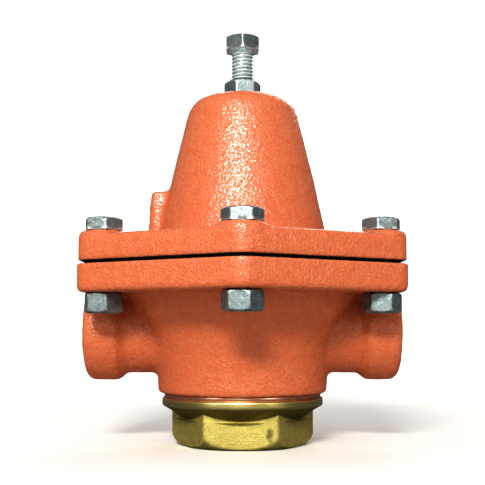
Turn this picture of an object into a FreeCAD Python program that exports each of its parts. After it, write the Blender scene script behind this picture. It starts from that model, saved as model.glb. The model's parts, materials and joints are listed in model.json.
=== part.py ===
import FreeCAD, Part
import math
import os
import re
import Sketcher

# Direct-acting pressure reducing valve with a spring-loaded diaphragm.
# Millimetres, +Z up. The origin is on the vertical axis at the foot of the bottom plug;
# the inlet faces -X and the outlet +X.

os.makedirs("parts", exist_ok=True)
doc = FreeCAD.newDocument("PressureReducingValve")
UP = FreeCAD.Vector(0, 0, 1)

# ---------------------------------------------------------------- driving dimensions
SIZES = {
    # bottom plug, from its foot upwards
    "plug_flats": 53.3,
    "plug_foot_height": 4.6,
    "plug_foot_inset": 1.5,
    "plug_foot_round": 8.0,
    "plug_flare_start": 11.3,
    "plug_flare_height": 5.6,
    "plug_flare_inset": 0.6,
    "collar_radius": 34.6,
    "collar_height": 3.4,
    "plug_thread_radius": 26.0,
    "plug_thread_length": 11.7,
    "plug_wall": 6.0,
    "plug_floor": 6.0,
    "guide_floor": 4.5,
    "guide_boss_wall": 2.0,
    "guide_boss_height": 14.0,
    "guide_bore_room": 0.6,
    # plug gasket
    "gasket_height": 2.0,
    "gasket_inset": 1.0,
    "gasket_bore_room": 0.3,
    # body casting
    "lip_radius": 36.3,
    "lip_chamfer": 0.9,
    "bowl_height": 41.7,
    "bowl_curve": 63.8,
    "bowl_root": 4.0,
    "bowl_root_radius": 10.9,
    "bowl_wall": 5.0,
    "port_axis_height": 26.3,
    "face_to_face": 133.8,
    "port_collar_radius": 21.0,
    "port_collar_length": 13.9,
    "port_neck_radius": 18.0,
    "port_neck_taper": 3.2,
    "port_edge": 4.0,
    "port_bore": 13.05,
    "port_thread_length": 20.0,
    "port_chamfer": 1.2,
    "port_throat": 11.5,
    "port_throat_length": 8.0,
    "passage_radius": 10.0,
    "passage_slope": 25.0,
    "passage_length": 30.0,
    "passage_start": 2.0,
    "plug_end_room": 2.0,
    "inlet_chamber_radius": 20.0,
    "web_drop": 6.6,
    "web_height": 10.0,
    "well_radius": 16.0,
    "chamber_depth": 9.5,
    # flanges and their bolts
    "flange_flats": 132.4,
    "bonnet_flange_step": 0.5,
    "body_flange_height": 11.5,
    "bonnet_flange_height": 10.4,
    "flange_corner": 7.0,
    "cast_edge": 2.0,
    "bolt_inset": 12.05,
    "nut_room": 16.4,
    "bolt_radius": 4.7625,
    "bolt_hole_room": 0.4,
    "bolt_flats": 14.29,
    "bolt_head_height": 5.3,
    "bolt_chamfer": 0.6,
    "bolt_nut_height": 8.3,
    "bolt_end_recess": 1.25,
    "pad_height": 1.7,
    "pad_radius": 10.2,
    "pad_slope": 35.0,
    # diaphragm and the plates that clamp it
    "diaphragm_thick": 1.1,
    "diaphragm_inset": 2.2,
    "fold_width": 11.0,
    "plate_height": 3.0,
    "plate_rim_height": 3.0,
    "plate_rim_wall": 1.8,
    "plate_rim_room": 0.5,
    "under_plate_height": 2.2,
    "under_plate_step": 2.0,
    # stem, seat and disc
    "stem_radius": 4.0,
    "stem_thread_radius": 3.0,
    "stem_collar_radius": 7.0,
    "stem_collar_height": 2.3,
    "stem_end_room": 1.4,
    "stem_nut_flats": 11.1,
    "stem_nut_height": 5.0,
    "stem_nut_chamfer": 0.4,
    "washer_radius": 6.4,
    "washer_height": 1.2,
    "seat_bore": 8.5,
    "seat_thread_radius": 14.0,
    "seat_flange_radius": 17.0,
    "seat_flange_height": 2.5,
    "seat_lip_height": 0.5,
    "seat_lip_width": 1.5,
    "seat_gap": 0.1,
    "disc_edge": 1.5,
    "disc_height": 3.5,
    "holder_wall": 2.0,
    "holder_floor": 4.4,
    "holder_rim_drop": 0.7,
    "holder_tap_floor": 1.2,
    "valve_lift": 3.5,
    "guide_end_room": 4.0,
    "bushing_wall": 1.95,
    "bushing_height": 12.0,
    "running_gap": 0.05,
    "thread_gap": 0.05,
    # bonnet
    "cone_base_radius": 37.0,
    "cone_corner_radius": 21.9,
    "cone_height": 63.4,
    "cone_swell": 1050.0,
    "cone_shoulder": 9.5,
    "cone_root": 3.5,
    "cone_root_radius": 4.2,
    "cone_wall": 4.5,
    "recess_height": 4.5,
    "screw_boss_height": 9.0,
    "lug_reach": 41.3,
    "lug_half_width": 8.5,
    "lug_corner": 4.0,
    "lug_height": 22.0,
    "lug_draft": 4.5,
    "vent_bore": 4.3,
    "vent_height": 11.5,
    # adjusting screw, lock nut and spring button
    "screw_radius": 4.7625,
    "screw_flats": 14.29,
    "screw_head_height": 6.5,
    "screw_head_chamfer": 0.5,
    "screw_showing": 12.9,
    "lock_nut_height": 8.3,
    "lock_nut_chamfer": 1.9,
    "button_height": 4.0,
    "button_room": 3.0,
    "button_side_room": 2.1,
    "button_socket_depth": 1.6,
    "button_hub_height": 3.0,
    "button_hub_room": 0.4,
    "button_socket_room": 0.3,
    # springs
    "main_wire": 4.5,
    "main_turns": 6.5,
    "main_side_room": 0.3,
    "return_wire": 1.6,
    "return_turns": 7.0,
    "return_side_room": 1.7,
    # how far a cutting outline stands clear of what it cuts
    "overcut": 1.0,
}

# ------------------------------------------------- levels and radii that follow from them
LEVELS = {
    "collar_base": "plug_flare_start + plug_flare_height",
    "collar_top": "collar_base + collar_height",
    "body_base": "collar_top + gasket_height",
    "plug_top": "body_base + plug_thread_length",
    "port_axis": "body_base + port_axis_height",
    "body_flange_base": "body_base + bowl_height",
    "body_flange_top": "body_flange_base + body_flange_height",
    "bonnet_base": "body_flange_top + diaphragm_thick",
    "bonnet_flange_top": "bonnet_base + bonnet_flange_height",
    "pad_top": "bonnet_flange_top + pad_height",
    "bonnet_top": "bonnet_flange_top + cone_height",
    "cavity_top": "bonnet_top - screw_boss_height",
    "cone_taper": "(cone_base_radius - cone_corner_radius) / cone_height",
    "cavity_top_radius": "cone_base_radius - cone_taper * (cavity_top - bonnet_flange_top) - cone_wall",
    "bolt_circle": "flange_flats / 2 / cos(30) - bolt_inset",
    "bolt_hole": "bolt_radius + bolt_hole_room",
    "bolt_nut_base": "body_flange_base - bolt_nut_height",
    "bowl_top_radius": "bolt_circle - nut_room",
    "chamber_radius": "bowl_top_radius - bowl_wall",
    "chamber_floor": "body_flange_top - chamber_depth",
    "half_face": "face_to_face / 2",
    "port_bore_end": "half_face - port_thread_length",
    "throat_end": "port_bore_end - port_throat_length",
    "web_base": "port_axis - web_drop",
    "web_top": "web_base + web_height",
    "seat_face": "web_base - seat_flange_height - seat_lip_height",
    "disc_top": "seat_face - seat_gap",
    "disc_base": "disc_top - disc_height",
    "disc_radius": "seat_bore + seat_lip_width + disc_edge",
    "holder_base": "disc_base - holder_floor",
    "holder_radius": "disc_radius + thread_gap + holder_wall",
    "guide_end": "guide_floor + valve_lift + guide_end_room",
    "guide_boss_top": "plug_floor + guide_boss_height",
    "bushing_radius": "stem_radius + running_gap + bushing_wall",
    "bushing_base": "guide_boss_top - bushing_height",
    "guide_boss_radius": "bushing_radius + guide_boss_wall",
    "disc_washer_top": "disc_top + washer_height",
    "under_plate_base": "body_flange_top - under_plate_height",
    "stem_collar_base": "under_plate_base - stem_collar_height",
    "plate_radius": "chamber_radius - fold_width",
    "plate_top": "bonnet_base + plate_height",
    "stem_washer_top": "plate_top + washer_height",
    "stem_nut_top": "stem_washer_top + stem_nut_height",
    "stem_top": "stem_nut_top + stem_end_room",
    "button_top": "cavity_top - button_room",
    "button_base": "button_top - button_height",
    "button_radius": "cavity_top_radius - button_side_room",
    "main_coil_radius": "button_radius - main_side_room - main_wire / 2",
    "return_coil_radius": "guide_boss_radius + return_side_room + return_wire / 2",
    "screw_tip": "button_top - button_socket_depth + seat_gap",
    "lock_nut_top": "bonnet_top + lock_nut_height",
    "screw_head_base": "lock_nut_top + screw_showing",
}

# How far each hexagon is left turned from square when it is tightened, in degrees.
PLUG_TURN = -1.5
LOCK_NUT_TURN = 10.0
SCREW_TURN = 31.0
BOLT_TURNS = (-3.0, 13.0, 40.0, 23.0, 8.0, -17.0)
NUT_TURNS = (-10.5, -8.0, 31.0, 12.0, 50.0, -14.0)
BOLT_ANGLES = (-90, -30, 30, 90, 150, 210)

WORD = re.compile(r"[a-z_]+")


def full(expression):
    """Put the sheet's name in front of each size or level named in an expression."""
    def prefix(match):
        word = match.group()
        if word in SIZES:
            return "Sizes." + word
        if word in LEVELS:
            return "Levels." + word
        return word
    return WORD.sub(prefix, expression)


def fill_sheet(name, rows):
    sheet = doc.addObject("Spreadsheet::Sheet", name)
    for row, (alias, content) in enumerate(rows, 1):
        sheet.set("A%d" % row, alias)
        sheet.set("B%d" % row, content)
        sheet.setAlias("B%d" % row, alias)
    doc.recompute()
    return sheet


sizes = fill_sheet("Sizes", [(alias, str(number)) for alias, number in SIZES.items()])
levels = fill_sheet("Levels", [(alias, "=" + full(rule)) for alias, rule in LEVELS.items()])


def value(expression):
    return float(sizes.evalExpression(full(expression)))


# ------------------------------------------------------------------- sketch helpers
def bind(owner, name, expression):
    owner.setExpression(name, full(expression))


def new_body(label):
    body = doc.addObject("PartDesign::Body", label)
    body.Label = label
    return body


def origin_feature(body, role):
    for feature in body.Origin.OriginFeatures:
        if feature.Role == role:
            return feature
    raise ValueError("no origin feature " + role)


def new_sketch(body, name, plane="XZ_Plane", shift_y=None, lift=None):
    """A sketch on one of the body's own planes, moved within it or away from it."""
    sketch = body.newObject("Sketcher::SketchObject", name)
    sketch.AttachmentSupport = [(origin_feature(body, plane), "")]
    sketch.MapMode = "FlatFace"
    if shift_y:
        bind(sketch, "AttachmentOffset.Base.y", shift_y)
    if lift:
        bind(sketch, "AttachmentOffset.Base.z", lift)
    return sketch


def limit(sketch, kind, *where, size):
    """A dimensional constraint bound to an expression."""
    index = sketch.addConstraint(Sketcher.Constraint(kind, *where, value(size)))
    bind(sketch, "Constraints[%d]" % index, size)


def pin_point(sketch, geometry, end, across, along):
    """Fix one end of a line or arc at a place given by two expressions."""
    for kind, axis, size in (("DistanceX", -2, across), ("DistanceY", -1, along)):
        if size == "0":
            sketch.addConstraint(Sketcher.Constraint("PointOnObject", geometry, end, axis))
        else:
            limit(sketch, kind, -1, 1, geometry, end, size=size)


def arc_between(start, finish, radius, side):
    """The short arc from start to finish; side 1 has its centre on the left, -1 on the right."""
    chord = finish - start
    middle = (start + finish) * 0.5
    reach = math.sqrt(max(radius ** 2 - (chord.Length / 2) ** 2, 0.0))
    left = FreeCAD.Vector(-chord.y, chord.x, 0).normalize()
    centre = middle + left * (reach * side)
    first = start if side > 0 else finish
    last = finish if side > 0 else start
    angles = [math.atan2(point.y - centre.y, point.x - centre.x) for point in (first, last)]
    circle = Part.Circle(centre, UP, radius)
    return Part.ArcOfCircle(circle, angles[0], angles[1])


def add_outline(sketch, corners):
    """A closed outline. A corner is (x, y), or (x, y, radius, side) where an arc leaves it."""
    points = [FreeCAD.Vector(value(corner[0]), value(corner[1]), 0) for corner in corners]
    pieces = []
    for place, corner in enumerate(corners):
        start = points[place]
        finish = points[(place + 1) % len(points)]
        if len(corner) == 2:
            index = sketch.addGeometry(Part.LineSegment(start, finish), False)
            pieces.append((index, 1, 2))
        else:
            arc = arc_between(start, finish, value(corner[2]), corner[3])
            index = sketch.addGeometry(arc, False)
            ends = (1, 2) if corner[3] > 0 else (2, 1)
            pieces.append((index,) + ends)
    for place, corner in enumerate(corners):
        index, start_end, finish_end = pieces[place]
        following = pieces[(place + 1) % len(pieces)]
        joint = Sketcher.Constraint("Coincident", index, finish_end, following[0], following[1])
        sketch.addConstraint(joint)
        pin_point(sketch, index, start_end, corner[0], corner[1])
        if len(corner) == 4:
            limit(sketch, "Radius", index, size=corner[2])


def add_circle(sketch, radius, across="0", along="0"):
    centre = FreeCAD.Vector(value(across), value(along), 0)
    index = sketch.addGeometry(Part.Circle(centre, UP, value(radius)), False)
    pin_point(sketch, index, 3, across, along)
    limit(sketch, "Radius", index, size=radius)


def add_hexagon(sketch, flats, first_angle):
    """A regular hexagon about the origin; first_angle is 0 or -90, its first corner's place."""
    size = flats + " / 2 / cos(30)"
    radius = value(size)
    angles = [math.radians(first_angle + 60 * side) for side in range(6)]
    corners = [FreeCAD.Vector(radius * math.cos(a), radius * math.sin(a), 0) for a in angles]
    ring = sketch.addGeometry(Part.Circle(FreeCAD.Vector(), UP, radius), True)
    sketch.addConstraint(Sketcher.Constraint("Coincident", ring, 3, -1, 1))
    limit(sketch, "Radius", ring, size=size)
    sides = []
    for side in range(6):
        line = Part.LineSegment(corners[side], corners[(side + 1) % 6])
        sides.append(sketch.addGeometry(line, False))
    for side in range(6):
        following = sides[(side + 1) % 6]
        sketch.addConstraint(Sketcher.Constraint("Coincident", sides[side], 2, following, 1))
        sketch.addConstraint(Sketcher.Constraint("PointOnObject", sides[side], 1, ring))
        if side:
            sketch.addConstraint(Sketcher.Constraint("Equal", sides[0], sides[side]))
    axis = -1 if first_angle == 0 else -2
    sketch.addConstraint(Sketcher.Constraint("PointOnObject", sides[0], 1, axis))


# ------------------------------------------------------------------ feature helpers
def settle(feature, smaller_than=None):
    """Recompute; a cut has to have taken something away."""
    doc.recompute()
    if smaller_than is not None and feature.Shape.Volume > smaller_than - 1e-3:
        raise ValueError(feature.Name + " cuts nothing")
    return feature


def revolve(body, sketch, name, axis="V_Axis"):
    feature = body.newObject("PartDesign::Revolution", name)
    feature.Profile = sketch
    feature.ReferenceAxis = (sketch, [axis])
    feature.Angle = 360
    return settle(feature)


def groove(body, sketch, name, axis="V_Axis"):
    before = body.Shape.Volume
    feature = body.newObject("PartDesign::Groove", name)
    feature.Profile = sketch
    feature.ReferenceAxis = (sketch, [axis])
    feature.Angle = 360
    return settle(feature, before)


def pad(body, sketch, name, length, draft=None):
    feature = body.newObject("PartDesign::Pad", name)
    feature.Profile = sketch
    bind(feature, "Length", length)
    if draft:
        bind(feature, "TaperAngle", "-" + draft)
    return settle(feature)


def pocket_through(body, sketch, name):
    """Cut right through, both ways from the sketch."""
    before = body.Shape.Volume
    feature = body.newObject("PartDesign::Pocket", name)
    feature.Profile = sketch
    feature.Type = "ThroughAll"
    feature.Midplane = True
    return settle(feature, before)


def fillet(body, base, name, radius, wanted):
    """Round the edges of base for which wanted(edge) is true."""
    edges = ["Edge%d" % place for place, edge in enumerate(base.Shape.Edges, 1) if wanted(edge)]
    feature = body.newObject("PartDesign::Fillet", name)
    feature.Base = (base, edges)
    bind(feature, "Radius", radius)
    return settle(feature)


def ring_pattern(body, feature, name):
    """Repeat a feature at the six corners."""
    pattern = body.newObject("PartDesign::PolarPattern", name)
    pattern.Originals = [feature]
    pattern.Axis = (origin_feature(body, "Z_Axis"), [""])
    pattern.Angle = 360
    pattern.Occurrences = 6
    body.Tip = pattern
    return settle(pattern)


def is_upright(edge):
    box = edge.BoundBox
    return box.ZLength > 1 and box.XLength < 1e-4 and box.YLength < 1e-4


def turned_about_z(body, degrees, across="0", along="0", up="0"):
    body.Placement = FreeCAD.Placement(FreeCAD.Vector(), FreeCAD.Rotation(UP, degrees))
    for axis, size in zip("xyz", (across, along, up)):
        if size != "0":
            bind(body, "Placement.Base." + axis, size)


def turned_piece(label, corners):
    """A piece turned on a lathe: one outline revolved about the vertical axis."""
    body = new_body(label)
    sketch = new_sketch(body, label + "_outline")
    add_outline(sketch, corners)
    revolve(body, sketch, label + "_turned")
    return body


def ring_piece(label, inner, outer, base, top):
    return turned_piece(label, [(inner, base), (outer, base), (outer, top), (inner, top)])


def hexagon_piece(label, flats, height, chamfer, both_ends, bore=None, first_angle=0):
    """A hexagonal prism from z = 0 with its corners turned off at 30 degrees."""
    body = new_body(label)
    hexagon = new_sketch(body, label + "_hexagon", "XY_Plane")
    add_hexagon(hexagon, flats, first_angle)
    if bore:
        add_circle(hexagon, bore)
    pad(body, hexagon, label + "_prism", height)
    corner = flats + " / 2 / cos(30)"
    face = flats + " / 2 - " + chamfer
    outside = corner + " + overcut"
    turned_off = new_sketch(body, label + "_corners")
    slope = "(" + outside + " - (" + face + ")) * tan(30)"
    above = height + " - (" + slope + ")"
    add_outline(turned_off, [(face, height), (outside, above), (outside, height + " + overcut"),
                             (face, height + " + overcut")])
    if both_ends:
        add_outline(turned_off, [(face, "0"), (face, "-overcut"), (outside, "-overcut"),
                                 (outside, slope)])
    groove(body, turned_off, label + "_chamfer")
    return body


# ------------------------------------------------------------------------- castings
def flange_plate(body, name, flats, base, height, cast_face):
    """A hexagonal flange, a corner to the front, rounded at its corners and round its cast face."""
    sketch = new_sketch(body, name + "_hexagon", "XY_Plane", lift=base)
    add_hexagon(sketch, flats, -90)
    plate = pad(body, sketch, name + "_plate", height)
    rounded = fillet(body, plate, name + "_corners", "flange_corner", is_upright)
    level = value(cast_face)

    def is_rim(edge):
        box = edge.BoundBox
        return box.ZLength < 1e-4 and abs(box.ZMin - level) < 1e-4

    return fillet(body, rounded, name + "_edges", "cast_edge", is_rim)


def bolt_holes(body, name):
    sketch = new_sketch(body, name + "_bolt_hole_sketch", "XY_Plane")
    add_circle(sketch, "bolt_hole", "0", "-bolt_circle")
    hole = pocket_through(body, sketch, name + "_bolt_hole")
    return ring_pattern(body, hole, name + "_bolt_holes")


def make_valve_body():
    body = new_body("valve_body")
    flange_plate(body, "body_flange", "flange_flats", "body_flange_base", "body_flange_height",
                 "body_flange_base")
    bowl = new_sketch(body, "bowl_outline")
    middle = "body_flange_base + body_flange_height / 2"
    add_outline(bowl, [
        ("0", "body_base"),
        ("lip_radius - lip_chamfer", "body_base"),
        ("lip_radius", "body_base + lip_chamfer", "bowl_curve", -1),
        ("bowl_top_radius", "body_flange_base - bowl_root", "bowl_root_radius", -1),
        ("bowl_top_radius + bowl_root", "body_flange_base"),
        ("bowl_top_radius + bowl_root", middle),
        ("0", middle),
    ])
    revolve(body, bowl, "bowl")
    ports = new_sketch(body, "port_outline", shift_y="port_axis")
    collar = "half_face - port_collar_length"
    neck = collar + " - port_neck_taper"
    add_outline(ports, [
        ("-half_face", "0"),
        ("half_face", "0"),
        ("half_face", "port_collar_radius - port_edge", "port_edge", 1),
        ("half_face - port_edge", "port_collar_radius"),
        (collar, "port_collar_radius"),
        (neck, "port_neck_radius"),
        ("-(" + neck + ")", "port_neck_radius"),
        ("-(" + collar + ")", "port_collar_radius"),
        ("-(half_face - port_edge)", "port_collar_radius", "port_edge", 1),
        ("-half_face", "port_collar_radius - port_edge"),
    ])
    revolve(body, ports, "ports", "H_Axis")
    bolt_holes(body, "body")
    # The diaphragm chamber, the well above the seat and the hole that the seat ring screws into.
    upper = new_sketch(body, "upper_chamber_outline")
    seat_hole = "seat_thread_radius + thread_gap"
    add_outline(upper, [
        ("0", "web_base - overcut"),
        (seat_hole, "web_base - overcut"),
        (seat_hole, "web_top"),
        ("well_radius", "web_top"),
        ("well_radius", "chamber_floor"),
        ("chamber_radius", "chamber_floor"),
        ("chamber_radius", "body_flange_top + overcut"),
        ("0", "body_flange_top + overcut"),
    ])
    groove(body, upper, "upper_chamber")
    lower = new_sketch(body, "lower_chamber_outline")
    plug_hole = "plug_thread_radius + thread_gap"
    shelf = "plug_top + plug_end_room"
    add_outline(lower, [
        ("0", "body_base - overcut"),
        (plug_hole, "body_base - overcut"),
        (plug_hole, shelf),
        ("inlet_chamber_radius", shelf),
        ("inlet_chamber_radius", "web_base"),
        ("0", "web_base"),
    ])
    groove(body, lower, "lower_chamber")
    for side, sign in (("inlet", "-"), ("outlet", "")):
        bore = new_sketch(body, side + "_bore_outline", shift_y="port_axis")
        corners = [
            ("throat_end", "0"),
            ("half_face + overcut", "0"),
            ("half_face + overcut", "port_bore + port_chamfer"),
            ("half_face", "port_bore + port_chamfer"),
            ("half_face - port_chamfer", "port_bore"),
            ("port_bore_end", "port_bore"),
            ("port_bore_end", "port_throat"),
            ("throat_end", "port_throat"),
        ]
        add_outline(bore, [(sign + "(" + along + ")", out) for along, out in corners])
        groove(body, bore, side + "_bore", "H_Axis")
    # The inlet slopes down to the chamber under the seat, and the outlet comes up from the well.
    for side, sign, tilt in (("inlet", -1, "90 + passage_slope"), ("outlet", 1, "90 - passage_slope")):
        before = body.Shape.Volume
        passage = body.newObject("PartDesign::SubtractiveCylinder", side + "_passage")
        bind(passage, "Radius", "passage_radius")
        bind(passage, "Height", "passage_length")
        turn = FreeCAD.Rotation(FreeCAD.Vector(0, -sign, 0), value(tilt))
        passage.Placement = FreeCAD.Placement(FreeCAD.Vector(), turn)
        bind(passage, "Placement.Base.x", "%d * (throat_end + passage_start)" % sign)
        bind(passage, "Placement.Base.z", "port_axis")
        bind(passage, "Placement.Rotation.Angle", tilt)
        settle(passage, before)


def make_bonnet():
    body = new_body("bonnet")
    flats = "(flange_flats - 2 * bonnet_flange_step)"
    flange_plate(body, "bonnet_flange", flats, "bonnet_base", "bonnet_flange_height",
                 "bonnet_flange_top")
    cone = new_sketch(body, "cone_outline")
    inside = "bonnet_flange_top - bonnet_flange_height / 2"
    root = "cone_base_radius - cone_taper * cone_root"
    add_outline(cone, [
        ("0", inside),
        ("cone_base_radius + cone_root", inside),
        ("cone_base_radius + cone_root", "bonnet_flange_top", "cone_root_radius", -1),
        (root, "bonnet_flange_top + cone_root", "cone_swell", 1),
        ("cone_corner_radius", "bonnet_top"),
        ("0", "bonnet_top"),
    ])
    turned = revolve(body, cone, "cone")
    top = value("bonnet_top")
    shoulder = fillet(body, turned, "cone_shoulder_round", "cone_shoulder",
                      lambda edge: edge.BoundBox.ZMin > top - 1e-4 and edge.BoundBox.XLength > 1)
    # Boss for the vent hole, on the inlet side.
    lug = new_sketch(body, "lug_sketch", "XY_Plane", lift="bonnet_flange_top - overcut")
    reach = "-lug_reach"
    start = "-lug_reach + lug_corner"
    centre = "-(cone_base_radius / 2)"
    add_outline(lug, [
        (centre, "-lug_half_width"),
        (centre, "lug_half_width"),
        (start, "lug_half_width", "lug_corner", 1),
        (reach, "lug_half_width - lug_corner"),
        (reach, "-(lug_half_width - lug_corner)", "lug_corner", 1),
        (start, "-lug_half_width"),
    ])
    boss = body.newObject("PartDesign::Pad", "lug")
    boss.Profile = lug
    bind(boss, "Length", "lug_height + overcut")
    bind(boss, "TaperAngle", "-lug_draft")
    settle(boss)
    # Under each bolt head a round boss fills out the corner and slopes up to a low pad.
    for stage, base, height, draft in (
            ("boss", "bonnet_flange_top - cast_edge", "cast_edge", None),
            ("slope", "bonnet_flange_top", "pad_height", "pad_slope")):
        raised = new_sketch(body, "bolt_pad_sketch_" + stage, "XY_Plane", lift=base)
        add_circle(raised, "pad_radius", "0", "-bolt_circle")
        bolt_pad = pad(body, raised, "bolt_pad_" + stage, height, draft)
        ring_pattern(body, bolt_pad, "bolt_pads_" + stage)
    bolt_holes(body, "bonnet")
    hollow = new_sketch(body, "spring_chamber_outline")
    screw_hole = "screw_radius + thread_gap"
    add_outline(hollow, [
        ("0", "bonnet_base - overcut"),
        ("chamber_radius", "bonnet_base - overcut"),
        ("chamber_radius", "bonnet_base + recess_height"),
        ("cone_base_radius - cone_wall", "bonnet_base + recess_height"),
        ("cone_base_radius - cone_wall", "bonnet_flange_top"),
        ("cavity_top_radius", "cavity_top"),
        (screw_hole, "cavity_top"),
        (screw_hole, "bonnet_top + overcut"),
        ("0", "bonnet_top + overcut"),
    ])
    groove(body, hollow, "spring_chamber")
    vent = new_sketch(body, "vent_sketch", "YZ_Plane", shift_y="bonnet_flange_top + vent_height")
    add_circle(vent, "vent_bore")
    before = body.Shape.Volume
    hole = body.newObject("PartDesign::Pocket", "vent_hole")
    hole.Profile = vent
    hole.Reversed = False
    bind(hole, "Length", "lug_reach + cast_edge")
    settle(hole)
    if hole.Shape.Volume > before - 1:
        hole.Reversed = True
        settle(hole, before)


# --------------------------------------------------------------- bottom plug and gasket
def make_bottom_plug():
    body = new_body("bottom_plug")
    hexagon = new_sketch(body, "plug_hexagon", "XY_Plane")
    add_hexagon(hexagon, "plug_flats", 0)
    pad(body, hexagon, "plug_hex", "collar_base - overcut")
    # The foot's corners are turned off to a full round.
    corners = new_sketch(body, "plug_foot_outline")
    corner = "plug_flats / 2 / cos(30)"
    foot = "plug_flats / 2 - plug_foot_inset"
    add_outline(corners, [
        (foot, "0"),
        (foot, "-overcut"),
        (corner + " + overcut", "-overcut"),
        (corner + " + overcut", "plug_foot_height"),
        (corner, "plug_foot_height", "plug_foot_round", -1),
    ])
    groove(body, corners, "plug_foot")
    # Above the flats a flare runs out to the collar, and the threaded sleeve stands on that.
    upper = new_sketch(body, "plug_collar_outline")
    add_outline(upper, [
        ("0", "plug_flare_start"),
        ("plug_flats / 2 - plug_flare_inset", "plug_flare_start"),
        ("collar_radius", "collar_base"),
        ("collar_radius", "collar_top"),
        ("plug_thread_radius", "collar_top"),
        ("plug_thread_radius", "plug_top"),
        ("0", "plug_top"),
    ])
    revolve(body, upper, "plug_collar")
    inside = new_sketch(body, "plug_inside_outline")
    bushing = "bushing_radius + running_gap"
    boss = "guide_boss_radius"
    add_outline(inside, [
        ("0", "guide_floor"),
        ("stem_radius + guide_bore_room", "guide_floor"),
        ("stem_radius + guide_bore_room", "bushing_base"),
        (bushing, "bushing_base"),
        (bushing, "guide_boss_top"),
        (boss, "guide_boss_top"),
        (boss, "plug_floor"),
        ("plug_thread_radius - plug_wall", "plug_floor"),
        ("plug_thread_radius - plug_wall", "plug_top + overcut"),
        ("0", "plug_top + overcut"),
    ])
    groove(body, inside, "plug_inside")
    turned_about_z(body, PLUG_TURN)


def make_small_turned_parts():
    ring_piece("plug_gasket", "plug_thread_radius + gasket_bore_room", "collar_radius - gasket_inset",
               "collar_top", "body_base")
    ring_piece("guide_bushing", "stem_radius + running_gap", "bushing_radius",
               "bushing_base", "guide_boss_top")
    turned_piece("seat_ring", [
        ("seat_bore", "seat_face"),
        ("seat_bore + seat_lip_width", "seat_face"),
        ("seat_bore + seat_lip_width", "seat_face + seat_lip_height"),
        ("seat_flange_radius", "seat_face + seat_lip_height"),
        ("seat_flange_radius", "web_base"),
        ("seat_thread_radius", "web_base"),
        ("seat_thread_radius", "web_top"),
        ("seat_bore", "web_top"),
    ])
    stem_hole = "stem_thread_radius + thread_gap"
    ring_piece("seat_disc", stem_hole, "disc_radius", "disc_base", "disc_top")
    ring_piece("disc_washer", stem_hole, "washer_radius", "disc_top", "disc_washer_top")
    rim = "disc_top - holder_rim_drop"
    turned_piece("disc_holder", [
        ("0", "guide_end"),
        ("stem_radius", "guide_end"),
        ("stem_radius", "holder_base"),
        ("holder_radius", "holder_base"),
        ("holder_radius", rim),
        ("disc_radius + thread_gap", rim),
        ("disc_radius + thread_gap", "disc_base"),
        (stem_hole, "disc_base"),
        (stem_hole, "holder_base + holder_tap_floor"),
        ("0", "holder_base + holder_tap_floor"),
    ])
    turned_piece("stem", [
        ("0", "holder_base + holder_tap_floor + thread_gap"),
        ("stem_thread_radius", "holder_base + holder_tap_floor + thread_gap"),
        ("stem_thread_radius", "disc_washer_top"),
        ("stem_radius", "disc_washer_top"),
        ("stem_radius", "stem_collar_base"),
        ("stem_collar_radius", "stem_collar_base"),
        ("stem_collar_radius", "under_plate_base"),
        ("stem_thread_radius", "under_plate_base"),
        ("stem_thread_radius", "stem_top"),
        ("0", "stem_top"),
    ])
    ring_piece("under_plate", stem_hole, "plate_radius - under_plate_step",
               "under_plate_base", "body_flange_top")
    rim_inner = "button_radius + plate_rim_room"
    turned_piece("pressure_plate", [
        (stem_hole, "bonnet_base"),
        ("plate_radius", "bonnet_base"),
        ("plate_radius", "plate_top"),
        (rim_inner + " + plate_rim_wall", "plate_top"),
        (rim_inner + " + plate_rim_wall", "plate_top + plate_rim_height"),
        (rim_inner, "plate_top + plate_rim_height"),
        (rim_inner, "plate_top"),
        (stem_hole, "plate_top"),
    ])
    ring_piece("stem_washer", stem_hole, "washer_radius", "plate_top", "stem_washer_top")
    coil_inside = "main_coil_radius - main_wire / 2 - button_hub_room"
    turned_piece("spring_button", [
        ("0", "button_base - button_hub_height"),
        (coil_inside, "button_base - button_hub_height"),
        (coil_inside, "button_base"),
        ("button_radius", "button_base"),
        ("button_radius", "button_top"),
        ("screw_radius + button_socket_room", "button_top"),
        ("screw_radius + button_socket_room", "button_top - button_socket_depth"),
        ("0", "button_top - button_socket_depth"),
    ])


def make_diaphragm():
    body = new_body("diaphragm")
    sheet = new_sketch(body, "diaphragm_hexagon", "XY_Plane", lift="body_flange_top")
    add_hexagon(sheet, "(flange_flats - 2 * bonnet_flange_step - 2 * diaphragm_inset)", -90)
    add_circle(sheet, "stem_thread_radius + thread_gap")
    plate = pad(body, sheet, "diaphragm_sheet", "diaphragm_thick")
    fillet(body, plate, "diaphragm_corners", "flange_corner", is_upright)
    bolt_holes(body, "diaphragm")


# ------------------------------------------------------------------- springs and screws
def make_spring(label, coil_radius, wire, turns, base, top):
    """A coil spring with its two ends ground flat."""
    body = new_body(label)
    wire_section = new_sketch(body, label + "_wire", shift_y=base)
    add_circle(wire_section, wire + " / 2", coil_radius, "0")
    coil = body.newObject("PartDesign::AdditiveHelix", label + "_coil")
    coil.Profile = wire_section
    coil.ReferenceAxis = (wire_section, ["V_Axis"])
    coil.Mode = 1
    length = "(" + top + " - (" + base + "))"
    bind(coil, "Pitch", length + " / " + turns)
    bind(coil, "Turns", turns)
    settle(coil)
    ends = new_sketch(body, label + "_ends")
    outer = coil_radius + " + " + wire
    add_outline(ends, [("0", base), ("0", base + " - " + wire), (outer, base + " - " + wire),
                       (outer, base)])
    add_outline(ends, [("0", top), (outer, top), (outer, top + " + " + wire),
                       ("0", top + " + " + wire)])
    groove(body, ends, label + "_ground_ends")


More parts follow.
